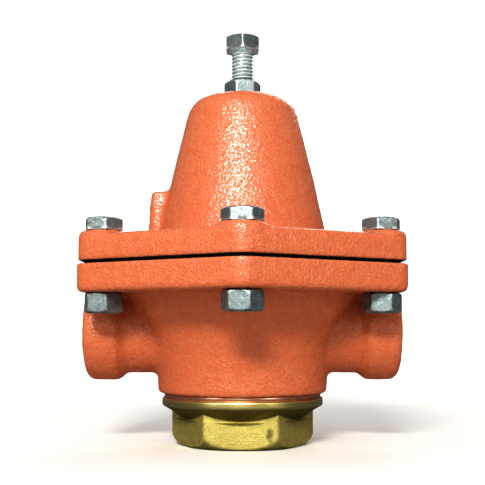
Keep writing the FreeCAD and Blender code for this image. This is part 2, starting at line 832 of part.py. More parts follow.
def make_adjusting_screw():
    body = hexagon_piece("adjusting_screw", "screw_flats", "screw_head_height",
                         "screw_head_chamfer", False)
    shank = new_sketch(body, "screw_shank_sketch", "XY_Plane")
    add_circle(shank, "screw_radius")
    length = body.newObject("PartDesign::Pad", "screw_shank")
    length.Profile = shank
    length.Reversed = True
    bind(length, "Length", "screw_head_base - (screw_tip)")
    settle(length)
    turned_about_z(body, SCREW_TURN, up="screw_head_base")


def make_lock_nut():
    nut = hexagon_piece("lock_nut", "screw_flats", "lock_nut_height", "lock_nut_chamfer", True,
                        "screw_radius + thread_gap")
    turned_about_z(nut, LOCK_NUT_TURN, up="bonnet_top")


def make_stem_nut():
    nut = hexagon_piece("stem_nut", "stem_nut_flats", "stem_nut_height", "stem_nut_chamfer", True,
                        "stem_thread_radius + thread_gap")
    turned_about_z(nut, 0, up="stem_washer_top")


def make_flange_fasteners():
    for place, angle in enumerate(BOLT_ANGLES):
        across = "bolt_circle * cos(%d)" % angle
        along = "bolt_circle * sin(%d)" % angle
        bolt = hexagon_piece("flange_bolt_%d" % (place + 1), "bolt_flats",
                             "bolt_head_height", "bolt_chamfer", False)
        shank = new_sketch(bolt, "bolt_shank_sketch", "XY_Plane")
        add_circle(shank, "bolt_radius")
        length = bolt.newObject("PartDesign::Pad", "bolt_shank")
        length.Profile = shank
        length.Reversed = True
        bind(length, "Length", "pad_top - (bolt_nut_base + bolt_end_recess)")
        settle(length)
        turned_about_z(bolt, BOLT_TURNS[place], across, along, "pad_top")
        nut = hexagon_piece("flange_nut_%d" % (place + 1), "bolt_flats",
                            "bolt_nut_height", "bolt_chamfer", True, "bolt_radius + thread_gap")
        turned_about_z(nut, NUT_TURNS[place], across, along, "bolt_nut_base")


# ------------------------------------------------------------------- build and write
make_valve_body()
make_bonnet()
make_bottom_plug()
make_small_turned_parts()
make_diaphragm()
make_spring("main_spring", "main_coil_radius", "main_wire", "main_turns",
            "plate_top", "button_base")
make_spring("return_spring", "return_coil_radius", "return_wire", "return_turns",
            "plug_floor", "holder_base")
make_adjusting_screw()
make_lock_nut()
make_stem_nut()
make_flange_fasteners()
doc.recompute()

for thing in doc.Objects:
    if "Invalid" in thing.State or "Error" in thing.State:
        raise ValueError("%s did not recompute: %s" % (thing.Name, thing.State))

for body in doc.findObjects("PartDesign::Body"):
    shape = body.Shape
    if shape.isNull() or not shape.isValid():
        raise ValueError(body.Label + " has no valid shape")
    shape.exportStep("parts/" + body.Label + ".step")
    print("%-20s %2d solid  %9.1f mm3" % (body.Label, len(shape.Solids), shape.Volume))
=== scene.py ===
"""Pressure reducing valve: castings, fasteners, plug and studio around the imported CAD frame."""
import json
import math

import bmesh
import bpy
import numpy as np
from bpy.props import FloatProperty, FloatVectorProperty, IntProperty, PointerProperty
from mathutils import Matrix, Vector, noise


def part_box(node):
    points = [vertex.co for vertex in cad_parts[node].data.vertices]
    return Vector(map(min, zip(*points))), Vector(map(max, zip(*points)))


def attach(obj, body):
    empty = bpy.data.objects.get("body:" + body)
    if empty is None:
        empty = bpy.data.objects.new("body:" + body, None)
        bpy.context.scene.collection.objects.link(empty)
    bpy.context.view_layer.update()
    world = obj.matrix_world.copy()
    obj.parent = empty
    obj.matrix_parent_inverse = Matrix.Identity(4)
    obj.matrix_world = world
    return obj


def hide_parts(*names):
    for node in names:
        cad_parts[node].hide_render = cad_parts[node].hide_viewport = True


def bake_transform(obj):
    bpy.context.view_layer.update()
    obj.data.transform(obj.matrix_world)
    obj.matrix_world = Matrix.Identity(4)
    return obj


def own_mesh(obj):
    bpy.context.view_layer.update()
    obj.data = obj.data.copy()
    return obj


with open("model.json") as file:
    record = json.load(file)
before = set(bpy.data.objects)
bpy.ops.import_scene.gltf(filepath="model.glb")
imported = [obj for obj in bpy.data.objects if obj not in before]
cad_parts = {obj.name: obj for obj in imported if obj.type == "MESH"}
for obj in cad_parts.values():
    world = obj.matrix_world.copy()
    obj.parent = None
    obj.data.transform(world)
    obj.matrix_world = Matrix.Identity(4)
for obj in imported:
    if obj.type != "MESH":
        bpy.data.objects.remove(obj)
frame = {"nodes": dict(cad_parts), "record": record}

bl_info = {
    "name": "Pressure Reducing Valve",
    "version": (1, 0, 0),
    "blender": (4, 5, 0),
    "location": "View3D > Sidebar > Valve",
    "description": "Builds the visible pieces of a cast pressure reducing valve",
    "category": "Object",
}

MM = 0.001
HOUSING = "housing"
TAU = math.tau
COARSE_PITCH = 1.5875 * MM
WELD = 1e-6
HALF_CORNER = math.radians(30)
# A hexagonal piece is round inside this share of its apothem, and its chamfer meets its flats
# over this share of the edge rounding.
ROUND_INSIDE = 0.8
CHAMFER_BLEND = 0.6
# Degrees between faces past which an edge is drawn sharp.
FASTENER_SHARP = 38
THREAD_SHARP = 50


# --------------------------------------------------------------------------- settings
class ValveCastingSettings(bpy.types.PropertyGroup):
    grid: FloatProperty(
        name="Grid", description="Spacing of the casting's mesh", default=0.95 * MM,
        subtype="DISTANCE")
    soften: IntProperty(
        name="Soften", description="Smoothing passes that round the cast edges and roots",
        default=5, min=0)
    ripple: FloatProperty(
        name="Ripple", description="Height of the broad unevenness left by the sand mould",
        default=0.13 * MM, subtype="DISTANCE")
    pimple: FloatProperty(
        name="Pimple", description="Height of the small lumps left by the sand mould",
        default=0.05 * MM, subtype="DISTANCE")
    seed: IntProperty(name="Seed", description="Place of the unevenness", default=4)


class ValveThreadSettings(bpy.types.PropertyGroup):
    screw_pitch: FloatProperty(
        name="Screw pitch", description="Pitch of the adjusting screw",
        default=COARSE_PITCH, subtype="DISTANCE")
    port_pitch: FloatProperty(
        name="Port pitch", description="Pitch of the pipe thread in the ports",
        default=1.814 * MM, subtype="DISTANCE")
    port_depth: FloatProperty(
        name="Port thread depth", description="Depth of the pipe thread in the ports",
        default=1.1 * MM, subtype="DISTANCE")


class ValveFastenerSettings(bpy.types.PropertyGroup):
    flats: FloatProperty(
        name="Across flats", description="Width of the bolt heads and nuts across their flats",
        default=14.29 * MM, subtype="DISTANCE")
    edge: FloatProperty(
        name="Edge round", description="Rounding of the edges between the flats",
        default=0.6 * MM, subtype="DISTANCE")
    chamfer: FloatProperty(
        name="Chamfer", description="How far the corner chamfer stands in from the flats",
        default=0.6 * MM, subtype="DISTANCE")


class ValvePlugSettings(bpy.types.PropertyGroup):
    flats: FloatProperty(
        name="Across flats", description="Width of the bottom plug across its flats",
        default=53.3 * MM, subtype="DISTANCE")
    foot_height: FloatProperty(
        name="Foot height", description="Height of the rounded foot at the corners",
        default=4.6 * MM, subtype="DISTANCE")
    flare_start: FloatProperty(
        name="Flare start", description="Height at which the flare leaves the flats",
        default=11.3 * MM, subtype="DISTANCE")
    flare_height: FloatProperty(
        name="Flare height", description="Height of the flare up to the collar",
        default=5.6 * MM, subtype="DISTANCE")
    collar_height: FloatProperty(
        name="Collar height", description="Height of the turned collar",
        default=3.4 * MM, subtype="DISTANCE")
    thread_radius: FloatProperty(
        name="Sleeve radius", description="Radius of the threaded sleeve above the collar",
        default=26.0 * MM, subtype="DISTANCE")


class ValveFinishSettings(bpy.types.PropertyGroup):
    paint: FloatVectorProperty(
        name="Paint", description="Colour of the enamel", default=(0.51, 0.155, 0.068),
        subtype="COLOR", min=0, max=1)
    # Besides blotches and pits, this colour darkens the enamel's hollows as painted shade.
    paint_dark: FloatVectorProperty(
        name="Paint in hollows", description="Colour of the enamel where it has pooled",
        default=(0.5, 0.08, 0.024), subtype="COLOR", min=0, max=1)
    zinc: FloatVectorProperty(
        name="Zinc", description="Colour of the plated bolts", default=(0.31, 0.38, 0.4),
        subtype="COLOR", min=0, max=1)
    brass: FloatVectorProperty(
        name="Brass", description="Colour of the bottom plug", default=(0.72, 0.62, 0.2),
        subtype="COLOR", min=0, max=1)
    copper: FloatVectorProperty(
        name="Gasket", description="Colour of the plug gasket", default=(0.55, 0.27, 0.17),
        subtype="COLOR", min=0, max=1)


class ValveStudioSettings(bpy.types.PropertyGroup):
    distance: FloatProperty(
        name="Camera distance", description="From the camera to the valve's axis",
        default=0.404, subtype="DISTANCE")
    eye_height: FloatProperty(
        name="Eye height", description="Height of the camera above the floor",
        default=0.0486, subtype="DISTANCE")
    lens: FloatProperty(name="Lens", description="Focal length in millimetres", default=68.8)
    rise: FloatProperty(name="Rise", description="Upward shift of the picture", default=0.08)
    tilt: FloatProperty(
        name="Tilt", description="How far the camera looks up", default=math.radians(3.07),
        subtype="ANGLE")


SETTINGS = {
    "valve_casting": ValveCastingSettings,
    "valve_thread": ValveThreadSettings,
    "valve_fastener": ValveFastenerSettings,
    "valve_plug": ValvePlugSettings,
    "valve_finish": ValveFinishSettings,
    "valve_studio": ValveStudioSettings,
}


# ------------------------------------------------------------------------ mesh helpers
def linked(name, data):
    """A new object in the scene."""
    piece = bpy.data.objects.new(name, data)
    bpy.context.collection.objects.link(piece)
    return piece


def evaluated_mesh(carrier):
    """The plain mesh that an object's modifiers make."""
    bpy.context.view_layer.update()
    graph = bpy.context.evaluated_depsgraph_get()
    return bpy.data.meshes.new_from_object(carrier.evaluated_get(graph))


def show(name, mesh, *finishes):
    """Put a mesh in the scene under a name, with its materials."""
    mesh.name = name
    piece = linked(name, mesh)
    if finishes:
        mesh.materials.clear()
        for finish in finishes:
            mesh.materials.append(finish)
    return piece


def make_mesh(name, vertices, faces):
    mesh = bpy.data.meshes.new(name)
    mesh.from_pydata(vertices, [], faces)
    mesh.update()
    return mesh


def join_meshes(name, meshes):
    """One mesh out of several, keeping their material numbers."""
    work = bmesh.new()
    for mesh in meshes:
        work.from_mesh(mesh)
    joined = bpy.data.meshes.new(name)
    work.to_mesh(joined)
    work.free()
    return joined


def shade(mesh, angle=None):
    """Smooth shading, kept sharp over edges steeper than the angle in degrees."""
    mesh.shade_smooth()
    if angle is not None:
        mesh.set_sharp_from_angle(angle=math.radians(angle))


def rounded(points, steps=4):
    """A path of (radius, height) whose corners are rounded; a corner may add its own rounding."""
    path = []
    count = len(points)
    for place, point in enumerate(points):
        size = point[2] if len(point) > 2 else 0.0
        here = Vector(point[:2])
        if size <= 0 or place in (0, count - 1):
            path.append(tuple(here))
            continue
        before = Vector(points[place - 1][:2]) - here
        after = Vector(points[place + 1][:2]) - here
        reach = min(size, 0.48 * before.length, 0.48 * after.length)
        start = here + before.normalized() * reach
        finish = here + after.normalized() * reach
        for step in range(steps + 1):
            part = step / steps
            bend = start.lerp(here, part).lerp(here.lerp(finish, part), part)
            path.append(tuple(bend))
    return path


def bulge(start, finish, height, steps):
    """Points from start to finish along a bow that stands out to the right by a height."""
    a, b = Vector(start), Vector(finish)
    side = Vector(((b - a).y, -(b - a).x)).normalized()
    bow = []
    for step in range(steps + 1):
        part = step / steps
        bow.append(tuple(a.lerp(b, part) + side * height * math.sin(math.pi * part)))
    return bow


def stretch_path(path, spacing):
    """Extra points along a path so that none of its steps is longer than the spacing."""
    dense = [path[0]]
    for start, finish in zip(path, path[1:]):
        a, b = Vector(start), Vector(finish)
        count = max(1, math.ceil((b - a).length / spacing))
        dense.extend(tuple(a.lerp(b, step / count)) for step in range(1, count + 1))
    return dense


def lathe(name, path, angles, shape=None, closed=False, turn=0.0):
    """Turn a path of (radius, height) about the vertical axis, with a column at each angle.

    shape(radius, height, angle) gives the radius where the piece isn't round. The path runs
    from the foot outwards and up; a closed path makes a ring.
    """
    columns = len(angles)
    vertices = []
    rings = []
    for radius, height in path:
        if radius < 1e-9:
            rings.append([len(vertices)])
            vertices.append((0.0, 0.0, height))
            continue
        ring = []
        for angle in angles:
            out = shape(radius, height, angle) if shape else radius
            ring.append(len(vertices))
            vertices.append((out * math.cos(angle + turn), out * math.sin(angle + turn),
                             height))
        rings.append(ring)
    faces = []
    following = rings[1:] + (rings[:1] if closed else [])
    for low, high in zip(rings, following):
        for column in range(columns):
            beside = (column + 1) % columns
            corners = [low[column % len(low)], low[beside % len(low)],
                       high[beside % len(high)], high[column % len(high)]]
            face = list(dict.fromkeys(corners))
            if len(face) > 2:
                faces.append(face)
    return make_mesh(name, vertices, faces)


def soft_min(first, second, blend):
    """The smaller of two lengths, rounded over where they cross."""
    part = max(blend - abs(first - second), 0.0) / blend
    return min(first, second) - part * part * blend * 0.25


def hexagon_radius(angle, apothem, edge):
    """Distance from the axis to a hexagon's side, its corners rounded.

    The middle of a side is at 30 degrees.
    """
    across = []
    for side in range(6):
        cosine = math.cos(angle - math.radians(30 + 60 * side))
        if cosine > 0.2:
            across.append(apothem / cosine)
    across.sort()
    return soft_min(across[0], across[1], edge)


def hexagonal(apothem, edge):
    """A shape for lathe(): hexagonal outside, and round near the axis."""
    def shape(radius, height, angle):
        if radius < apothem * ROUND_INSIDE:
            return radius
        return soft_min(radius, hexagon_radius(angle, apothem, edge), edge * CHAMFER_BLEND)
    return shape


# --------------------------------------------------------------------- geometry nodes
def add_inputs(tree, inputs):
    """Named inputs for a tree, each label with its (socket type, default or None)."""
    for label, (socket, value) in inputs.items():
        item = tree.interface.new_socket(label, in_out="INPUT", socket_type=socket)
        if value is not None:
            item.default_value = value


def node_tree(name, inputs):
    """A geometry node tree with a geometry input and output and the given named inputs."""
    tree = bpy.data.node_groups.new(name, "GeometryNodeTree")
    tree.interface.new_socket("Geometry", in_out="INPUT", socket_type="NodeSocketGeometry")
    add_inputs(tree, inputs)
    tree.interface.new_socket("Geometry", in_out="OUTPUT", socket_type="NodeSocketGeometry")
    return tree


class Wires:
    """Short ways to add and join nodes in one tree."""

    def __init__(self, tree):
        self.tree = tree
        self.place = 0

    def node(self, kind, **values):
        node = self.tree.nodes.new(kind)
        self.place += 180
        node.location = (self.place, 0)
        for name, value in values.items():
            setattr(node, name, value)
        return node

    def join(self, start, finish):
        self.tree.links.new(start, finish)

    def feed(self, socket, value):
        """A value is another socket, which is joined, or a plain number."""
        if isinstance(value, bpy.types.NodeSocket):
            self.join(value, socket)
        else:
            socket.default_value = value

    def math(self, operation, *values):
        node = self.node("ShaderNodeMath", operation=operation)
        for socket, value in zip(node.inputs, values):
            self.feed(socket, value)
        return node.outputs[0]

    def parts(self, vector):
        """The three parts of a vector."""
        node = self.node("ShaderNodeSeparateXYZ")
        self.join(vector, node.inputs[0])
        return node.outputs

    def vector(self, *parts):
        """A vector made of up to three sockets, None where a part is 0."""
        node = self.node("ShaderNodeCombineXYZ")
        for socket, part in zip(node.inputs, parts):
            if part is not None:
                self.join(part, socket)
        return node.outputs[0]


def finish_tree(w, geometry, material):
    """End a tree in Realize Instances and Set Material."""
    real = w.node("GeometryNodeRealizeInstances")
    w.join(geometry, real.inputs[0])
    finish = w.node("GeometryNodeSetMaterial")
    w.join(real.outputs[0], finish.inputs["Geometry"])
    w.join(material, finish.inputs["Material"])
    w.join(finish.outputs[0], w.node("NodeGroupOutput").inputs[0])
    return w.tree


def socket_named(tree, label):
    for item in tree.interface.items_tree:
        if item.item_type == "SOCKET" and item.in_out == "INPUT" and item.name == label:
            return item.identifier
    raise KeyError(label)


def run_tree(name, tree, start, **values):
    """Apply a tree to a mesh and return the plain mesh that comes out."""
    carrier = linked(name + "_carrier", start)
    modifier = carrier.modifiers.new(name, "NODES")
    modifier.node_group = tree
    for label, value in values.items():
        modifier[socket_named(tree, label.replace("_", " "))] = value
    mesh = evaluated_mesh(carrier)
    carrier.modifiers.remove(modifier)
    bpy.data.objects.remove(carrier)
    return mesh


def thread_tree():
    """A threaded tube: a grid of angle by height, rolled up, with a helical ridge on it."""
    if "Threaded Tube" in bpy.data.node_groups:
        return bpy.data.node_groups["Threaded Tube"]
    tree = node_tree("Threaded Tube", {
        "Radius": ("NodeSocketFloat", 0.005), "Length": ("NodeSocketFloat", 0.02),
        "Pitch": ("NodeSocketFloat", 0.0016), "Depth": ("NodeSocketFloat", 0.0009),
        "Taper": ("NodeSocketFloat", 0.0), "Runout": ("NodeSocketFloat", 0.001),
        "Columns": ("NodeSocketInt", 48), "Rows": ("NodeSocketInt", 100),
        "Finish": ("NodeSocketMaterial", None)})
    w = Wires(tree)
    given = w.node("NodeGroupInput").outputs
    grid = w.node("GeometryNodeMeshGrid")
    w.feed(grid.inputs["Size X"], TAU)
    w.feed(grid.inputs["Size Y"], given["Length"])
    w.feed(grid.inputs["Vertices X"], given["Columns"])
    w.feed(grid.inputs["Vertices Y"], given["Rows"])
    angle, along, _ = w.parts(w.node("GeometryNodeInputPosition").outputs[0])
    # The ridge climbs one pitch a turn: a triangle wave of height / pitch - angle / turn.
    turns = w.math("DIVIDE", angle, TAU)
    phase = w.math("SUBTRACT", w.math("DIVIDE", along, given["Pitch"]), turns)
    wave = w.math("PINGPONG", phase, 0.5)
    tooth = w.math("MULTIPLY", wave, 2.0)
    # Crests and roots are cut flat at these shares of the depth, and rounded over.
    flat_crest, flat_root, round_off = 0.84, 0.14, 0.12
    crest = w.math("SMOOTH_MIN", tooth, flat_crest, round_off)
    root = w.math("SMOOTH_MAX", crest, flat_root, round_off)
    # The thread fades out towards each end.
    to_end = w.math("SUBTRACT", w.math("MULTIPLY", given["Length"], 0.5), w.math("ABSOLUTE", along))
    fade = w.math("MINIMUM", w.math("DIVIDE", to_end, given["Runout"]), 1.0)
    ridge = w.math("MULTIPLY", w.math("MULTIPLY", root, given["Depth"]), fade)
    taper = w.math("MULTIPLY", along, given["Taper"])
    radius = w.math("ADD", w.math("ADD", given["Radius"], ridge), taper)
    rolled = w.vector(w.math("MULTIPLY", radius, w.math("COSINE", angle)),
                      w.math("MULTIPLY", radius, w.math("SINE", angle)), along)
    move = w.node("GeometryNodeSetPosition")
    w.join(grid.outputs["Mesh"], move.inputs["Geometry"])
    w.join(rolled, move.inputs["Position"])
    weld = w.node("GeometryNodeMergeByDistance")
    w.join(move.outputs[0], weld.inputs["Geometry"])
    weld.inputs["Distance"].default_value = WELD
    return finish_tree(w, weld.outputs[0], given["Finish"])


def corner_tree():
    """Stand a copy of one fastener on every point, turned by the point's own angle."""
    tree = node_tree("Corner Fasteners", {
        "Fastener": ("NodeSocketObject", None), "Finish": ("NodeSocketMaterial", None)})
    w = Wires(tree)
    given = w.node("NodeGroupInput").outputs
    fastener = w.node("GeometryNodeObjectInfo")
    w.join(given["Fastener"], fastener.inputs["Object"])
    turn = w.node("GeometryNodeInputNamedAttribute", data_type="FLOAT")
    turn.inputs["Name"].default_value = "turn"
    spin = w.vector(None, None, turn.outputs["Attribute"])
    stand = w.node("GeometryNodeInstanceOnPoints")
    w.join(given["Geometry"], stand.inputs["Points"])
    w.join(fastener.outputs["Geometry"], stand.inputs["Instance"])
    w.join(spin, stand.inputs["Rotation"])
    return finish_tree(w, stand.outputs[0], given["Finish"])


def coil_tree():
    """A coil spring: round wire along a helix of even pitch, its ends left open."""
    tree = node_tree("Coil Spring", {
        "Radius": ("NodeSocketFloat", 0.014), "Height": ("NodeSocketFloat", 0.05),
        "Turns": ("NodeSocketFloat", 6.5), "Wire": ("NodeSocketFloat", 0.0045),
        "Foot": ("NodeSocketFloat", 0.0), "Finish": ("NodeSocketMaterial", None)})
    w = Wires(tree)
    given = w.node("NodeGroupInput").outputs
    helix = w.node("GeometryNodeCurveSpiral")
    helix.inputs["Resolution"].default_value = 28
    w.join(given["Turns"], helix.inputs["Rotations"])
    w.join(given["Radius"], helix.inputs["Start Radius"])
    w.join(given["Radius"], helix.inputs["End Radius"])
    half_wire = w.math("MULTIPLY", given["Wire"], 0.5)
    w.join(w.math("SUBTRACT", given["Height"], given["Wire"]), helix.inputs["Height"])
    section = w.node("GeometryNodeCurvePrimitiveCircle")
    section.inputs["Resolution"].default_value = 14
    w.join(half_wire, section.inputs["Radius"])
    wire = w.node("GeometryNodeCurveToMesh")
    w.join(helix.outputs[0], wire.inputs["Curve"])
    w.join(section.outputs[0], wire.inputs["Profile Curve"])
    wire.inputs["Fill Caps"].default_value = True
    rise = w.vector(None, None, w.math("ADD", given["Foot"], half_wire))
    lift = w.node("GeometryNodeTransform")
    w.join(wire.outputs[0], lift.inputs["Geometry"])
    w.join(rise, lift.inputs["Translation"])
    return finish_tree(w, lift.outputs[0], given["Finish"])


# ------------------------------------------------------------------------- materials
def shader_group(name, inputs, outputs):
    """An empty shader node group with named inputs and outputs."""
    tree = bpy.data.node_groups.new(name, "ShaderNodeTree")
    add_inputs(tree, inputs)
    for label, socket in outputs.items():
        tree.interface.new_socket(label, in_out="OUTPUT", socket_type=socket)
    w = Wires(tree)
    return w, w.node("NodeGroupInput").outputs, w.node("NodeGroupOutput").inputs


def noise_node(w, where, scale, detail=2.0, roughness=0.5):
    """Fractal noise at a scale in features per metre; its Factor output."""
    node = w.node("ShaderNodeTexNoise")
    w.join(where, node.inputs["Vector"])
    w.feed(node.inputs["Scale"], scale)
    node.inputs["Detail"].default_value = detail
    node.inputs["Roughness"].default_value = roughness
    return node.outputs["Fac"]


def ramp(w, value, low, high, out_low=0.0, out_high=1.0, kind="LINEAR"):
    node = w.node("ShaderNodeMapRange", interpolation_type=kind)
    w.feed(node.inputs["Value"], value)
    node.inputs["From Min"].default_value = low
    node.inputs["From Max"].default_value = high
    node.inputs["To Min"].default_value = out_low
    node.inputs["To Max"].default_value = out_high
    return node.outputs[0]


def mix_colour(w, amount, first, second):
    node = w.node("ShaderNodeMix", data_type="RGBA", blend_type="MIX")
    w.feed(node.inputs[0], amount)
    for socket, value in ((node.inputs[6], first), (node.inputs[7], second)):
        if isinstance(value, bpy.types.NodeSocket):
            w.join(value, socket)
        else:
            socket.default_value = tuple(value)[:3] + (1.0,)
    return node.outputs[2]


def cast_grain_group():
    """Sand-cast skin: broad waves, pimples and the fine grain of the mould."""
    w, given, out = shader_group(
        "Cast Grain",
        {"Vector": ("NodeSocketVector", None), "Grain Size": ("NodeSocketFloat", 700.0),
         "Wave Size": ("NodeSocketFloat", 120.0)},
        {"Height": "NodeSocketFloat", "Pits": "NodeSocketFloat", "Blotch": "NodeSocketFloat",
         "Sparkle": "NodeSocketFloat"})
    grain = noise_node(w, given["Vector"], given["Grain Size"], 2.0, 0.5)
    wave = noise_node(w, given["Vector"], given["Wave Size"], 2.0)
    bumps = w.node("ShaderNodeTexVoronoi", feature="SMOOTH_F1")
    w.join(given["Vector"], bumps.inputs["Vector"])
    w.join(w.math("MULTIPLY", given["Grain Size"], 0.8), bumps.inputs["Scale"])
    bumps.inputs["Smoothness"].default_value = 0.6
    lumps = w.math("MULTIPLY", bumps.outputs["Distance"], 0.45)
    fine = w.math("ADD", w.math("MULTIPLY", grain, 0.7), lumps)
    w.join(w.math("ADD", fine, w.math("MULTIPLY", wave, 0.9)), out["Height"])
    w.join(ramp(w, grain, 0.34, 0.5, 1.0, 0.0), out["Pits"])
    w.join(ramp(w, grain, 0.44, 0.6), out["Sparkle"])
    w.join(ramp(w, wave, 0.35, 0.65), out["Blotch"])
    return w.tree


def edge_wear_group():
    """Masks of the edges that stand out, broken up by noise, and of the corners that lie in; the
    enamel and the zinc use them for a painted highlight on edges and painted shade in hollows, the
    brass for real rubbing and tarnish.
    """
    w, given, out = shader_group(
        "Edge Wear And Painted Light",
        {"Vector": ("NodeSocketVector", None), "Break Up": ("NodeSocketFloat", 900.0),
         "Low": ("NodeSocketFloat", 0.54), "High": ("NodeSocketFloat", 0.62)},
        {"Edge": "NodeSocketFloat", "Hollow": "NodeSocketFloat"})
    point = w.node("ShaderNodeNewGeometry").outputs["Pointiness"]
    broken = noise_node(w, given["Vector"], given["Break Up"], 3.0)
    worn = w.math("ADD", point, w.math("MULTIPLY", w.math("SUBTRACT", broken, 0.5), 0.05))
    edge = w.node("ShaderNodeMapRange")
    w.join(worn, edge.inputs["Value"])
    w.join(given["Low"], edge.inputs["From Min"])
    w.join(given["High"], edge.inputs["From Max"])
    w.join(edge.outputs[0], out["Edge"])
    w.join(ramp(w, point, 0.44, 0.495, 1.0, 0.0), out["Hollow"])
    return w.tree


def turning_marks_group():
    """Fine rings left by the lathe, about the vertical axis: they run with height and radius."""
    w, given, out = shader_group(
        "Turning Marks",
        {"Vector": ("NodeSocketVector", None), "Rings": ("NodeSocketFloat", 2600.0)},
        {"Height": "NodeSocketFloat", "Streak": "NodeSocketFloat"})
    x, y, z = w.parts(given["Vector"])
    radius = w.math("SQRT", w.math("ADD", w.math("MULTIPLY", x, x), w.math("MULTIPLY", y, y)))
    # A ring changes only slowly on its way round.
    drift = 0.0004
    along = w.vector(radius, z, w.math("MULTIPLY", w.math("ARCTAN2", y, x), drift))
    fine = noise_node(w, along, given["Rings"], 3.0, 0.7)
    w.join(fine, out["Height"])
    w.join(ramp(w, noise_node(w, along, 900.0, 2.0), 0.35, 0.65), out["Streak"])
    return w.tree


def mottle_group():
    """Cloudy plating: patches of two sizes and small dark specks."""
    w, given, out = shader_group(
        "Mottle",
        {"Vector": ("NodeSocketVector", None), "Patch Size": ("NodeSocketFloat", 380.0)},
        {"Cloud": "NodeSocketFloat", "Specks": "NodeSocketFloat"})
    large = noise_node(w, given["Vector"], given["Patch Size"], 4.0, 0.65)
    small = noise_node(w, given["Vector"], w.math("MULTIPLY", given["Patch Size"], 4.3), 3.0, 0.6)
    cloud = w.math("ADD", w.math("MULTIPLY", large, 0.65), w.math("MULTIPLY", small, 0.35))
    w.join(ramp(w, cloud, 0.36, 0.64), out["Cloud"])
    w.join(ramp(w, small, 0.3, 0.38, 1.0, 0.0), out["Specks"])
    return w.tree


GROUP_MAKERS = {
    "Cast Grain": cast_grain_group,
    "Edge Wear And Painted Light": edge_wear_group,
    "Turning Marks": turning_marks_group,
    "Mottle": mottle_group,
}


def new_material(name, roughness, metallic=0.0, **plain):
    """A material with its Principled shader, its wires and object coordinates."""
    material = bpy.data.materials.new(name)
    material.use_nodes = True
    shader = material.node_tree.nodes["Principled BSDF"]
    shader.inputs["Roughness"].default_value = roughness
    shader.inputs["Metallic"].default_value = metallic
    for label, value in plain.items():
        shader.inputs[label.replace("_", " ")].default_value = value
    w = Wires(material.node_tree)
    where = w.node("ShaderNodeTexCoord").outputs["Object"]
    return material, shader.inputs, w, where


def effect(w, name, where, **values):
    """Place a shared effect in a material; returns its outputs."""
    tree = bpy.data.node_groups.get(name) or GROUP_MAKERS[name]()
    node = w.node("ShaderNodeGroup", node_tree=tree)
    w.join(where, node.inputs["Vector"])
    for label, value in values.items():
        node.inputs[label.replace("_", " ")].default_value = value
    return node.outputs


def bump(w, shader, height, distance):
    node = w.node("ShaderNodeBump")
    node.inputs["Strength"].default_value = 1.0
    node.inputs["Distance"].default_value = distance
    w.join(height, node.inputs["Height"])
    w.join(node.outputs[0], shader["Normal"])


def shaded(colour, factor, lift=0.0):
    """A colour made darker or lighter, no channel above 1."""
    return tuple(min(1.0, channel * factor + lift) for channel in colour)


def tinted(w, colour, mask, amount, tint):
    """Lay a tint over a colour, up to the amount where the mask is 1."""
    return mix_colour(w, ramp(w, mask, 0.0, 1.0, 0.0, amount), colour, tint)


def paint_material(finish):
    """Enamel over sand-cast iron; it shines on the tops of the grain and is dull between them. Its
    hollows carry painted shade and its standing edges a painted highlight.
    """
    material, shader, w, where = new_material("orange_enamel", 0.4)
    cast = effect(w, "Cast Grain", where, Grain_Size=1150.0, Wave_Size=260.0)
    edge_and_hollow = effect(w, "Edge Wear And Painted Light", where, Low=0.53, High=0.6)
    colour = tinted(w, finish.paint, cast["Blotch"], 0.3, finish.paint_dark)
    # Painted shade: the enamel is darkened towards paint_dark in its hollows.
    colour = tinted(w, colour, edge_and_hollow["Hollow"], 0.6, finish.paint_dark)
    colour = tinted(w, colour, cast["Pits"], 0.16, finish.paint_dark)
    light = shaded(finish.paint, 1.15, 0.03)
    colour = tinted(w, colour, cast["Sparkle"], 0.2, light)
    # Painted highlight: the enamel is lightened on its standing edges.
    colour = tinted(w, colour, edge_and_hollow["Edge"], 0.6, light)
    w.join(colour, shader["Base Color"])
    w.join(ramp(w, cast["Sparkle"], 0.0, 1.0, 0.44, 0.31), shader["Roughness"])
    w.join(ramp(w, cast["Sparkle"], 0.0, 1.0, 0.22, 0.95), shader["Specular IOR Level"])
    bump(w, shader, cast["Height"], 0.33 * MM)
    return material


def machined_iron_material():
    """Bare turned iron in the bores, threads and chambers."""
    material, shader, w, where = new_material("bare_iron", 0.42, 0.9)
    turned = effect(w, "Turning Marks", where)
    cloud = effect(w, "Mottle", where, Patch_Size=260.0)
    colour = mix_colour(w, cloud["Cloud"], (0.12, 0.11, 0.105), (0.3, 0.29, 0.28))
    w.join(mix_colour(w, cloud["Specks"], colour, (0.09, 0.045, 0.025)), shader["Base Color"])
    w.join(ramp(w, turned["Streak"], 0.0, 1.0, 0.34, 0.55), shader["Roughness"])
    bump(w, shader, turned["Height"], 0.05 * MM)
    return material


def zinc_material(finish, name="plated_zinc", tint=1.0, metallic=0.8):
    """Cloudy zinc plate over forged steel, with a painted highlight on its standing edges and
    painted shade in its hollows.
    """
    material, shader, w, where = new_material(name, 0.4, metallic)
    cloud = effect(w, "Mottle", where)
    edge_and_hollow = effect(w, "Edge Wear And Painted Light", where, Low=0.52, High=0.57)
    light = shaded(finish.zinc, tint)
    dark = shaded(light, 0.42)
    colour = mix_colour(w, cloud["Cloud"], dark, light)
    colour = tinted(w, colour, cloud["Specks"], 0.7, (0.05, 0.05, 0.055))
    # Painted highlight: near-white on the standing edges.
    colour = tinted(w, colour, edge_and_hollow["Edge"], 0.85, (0.86, 0.87, 0.88))
    # Painted shade: near-black in the hollows.
    colour = tinted(w, colour, edge_and_hollow["Hollow"], 0.75, (0.06, 0.06, 0.065))
    w.join(colour, shader["Base Color"])
    w.join(ramp(w, cloud["Cloud"], 0.0, 1.0, 0.52, 0.3), shader["Roughness"])
    bump(w, shader, cloud["Cloud"], 0.06 * MM)
    return material


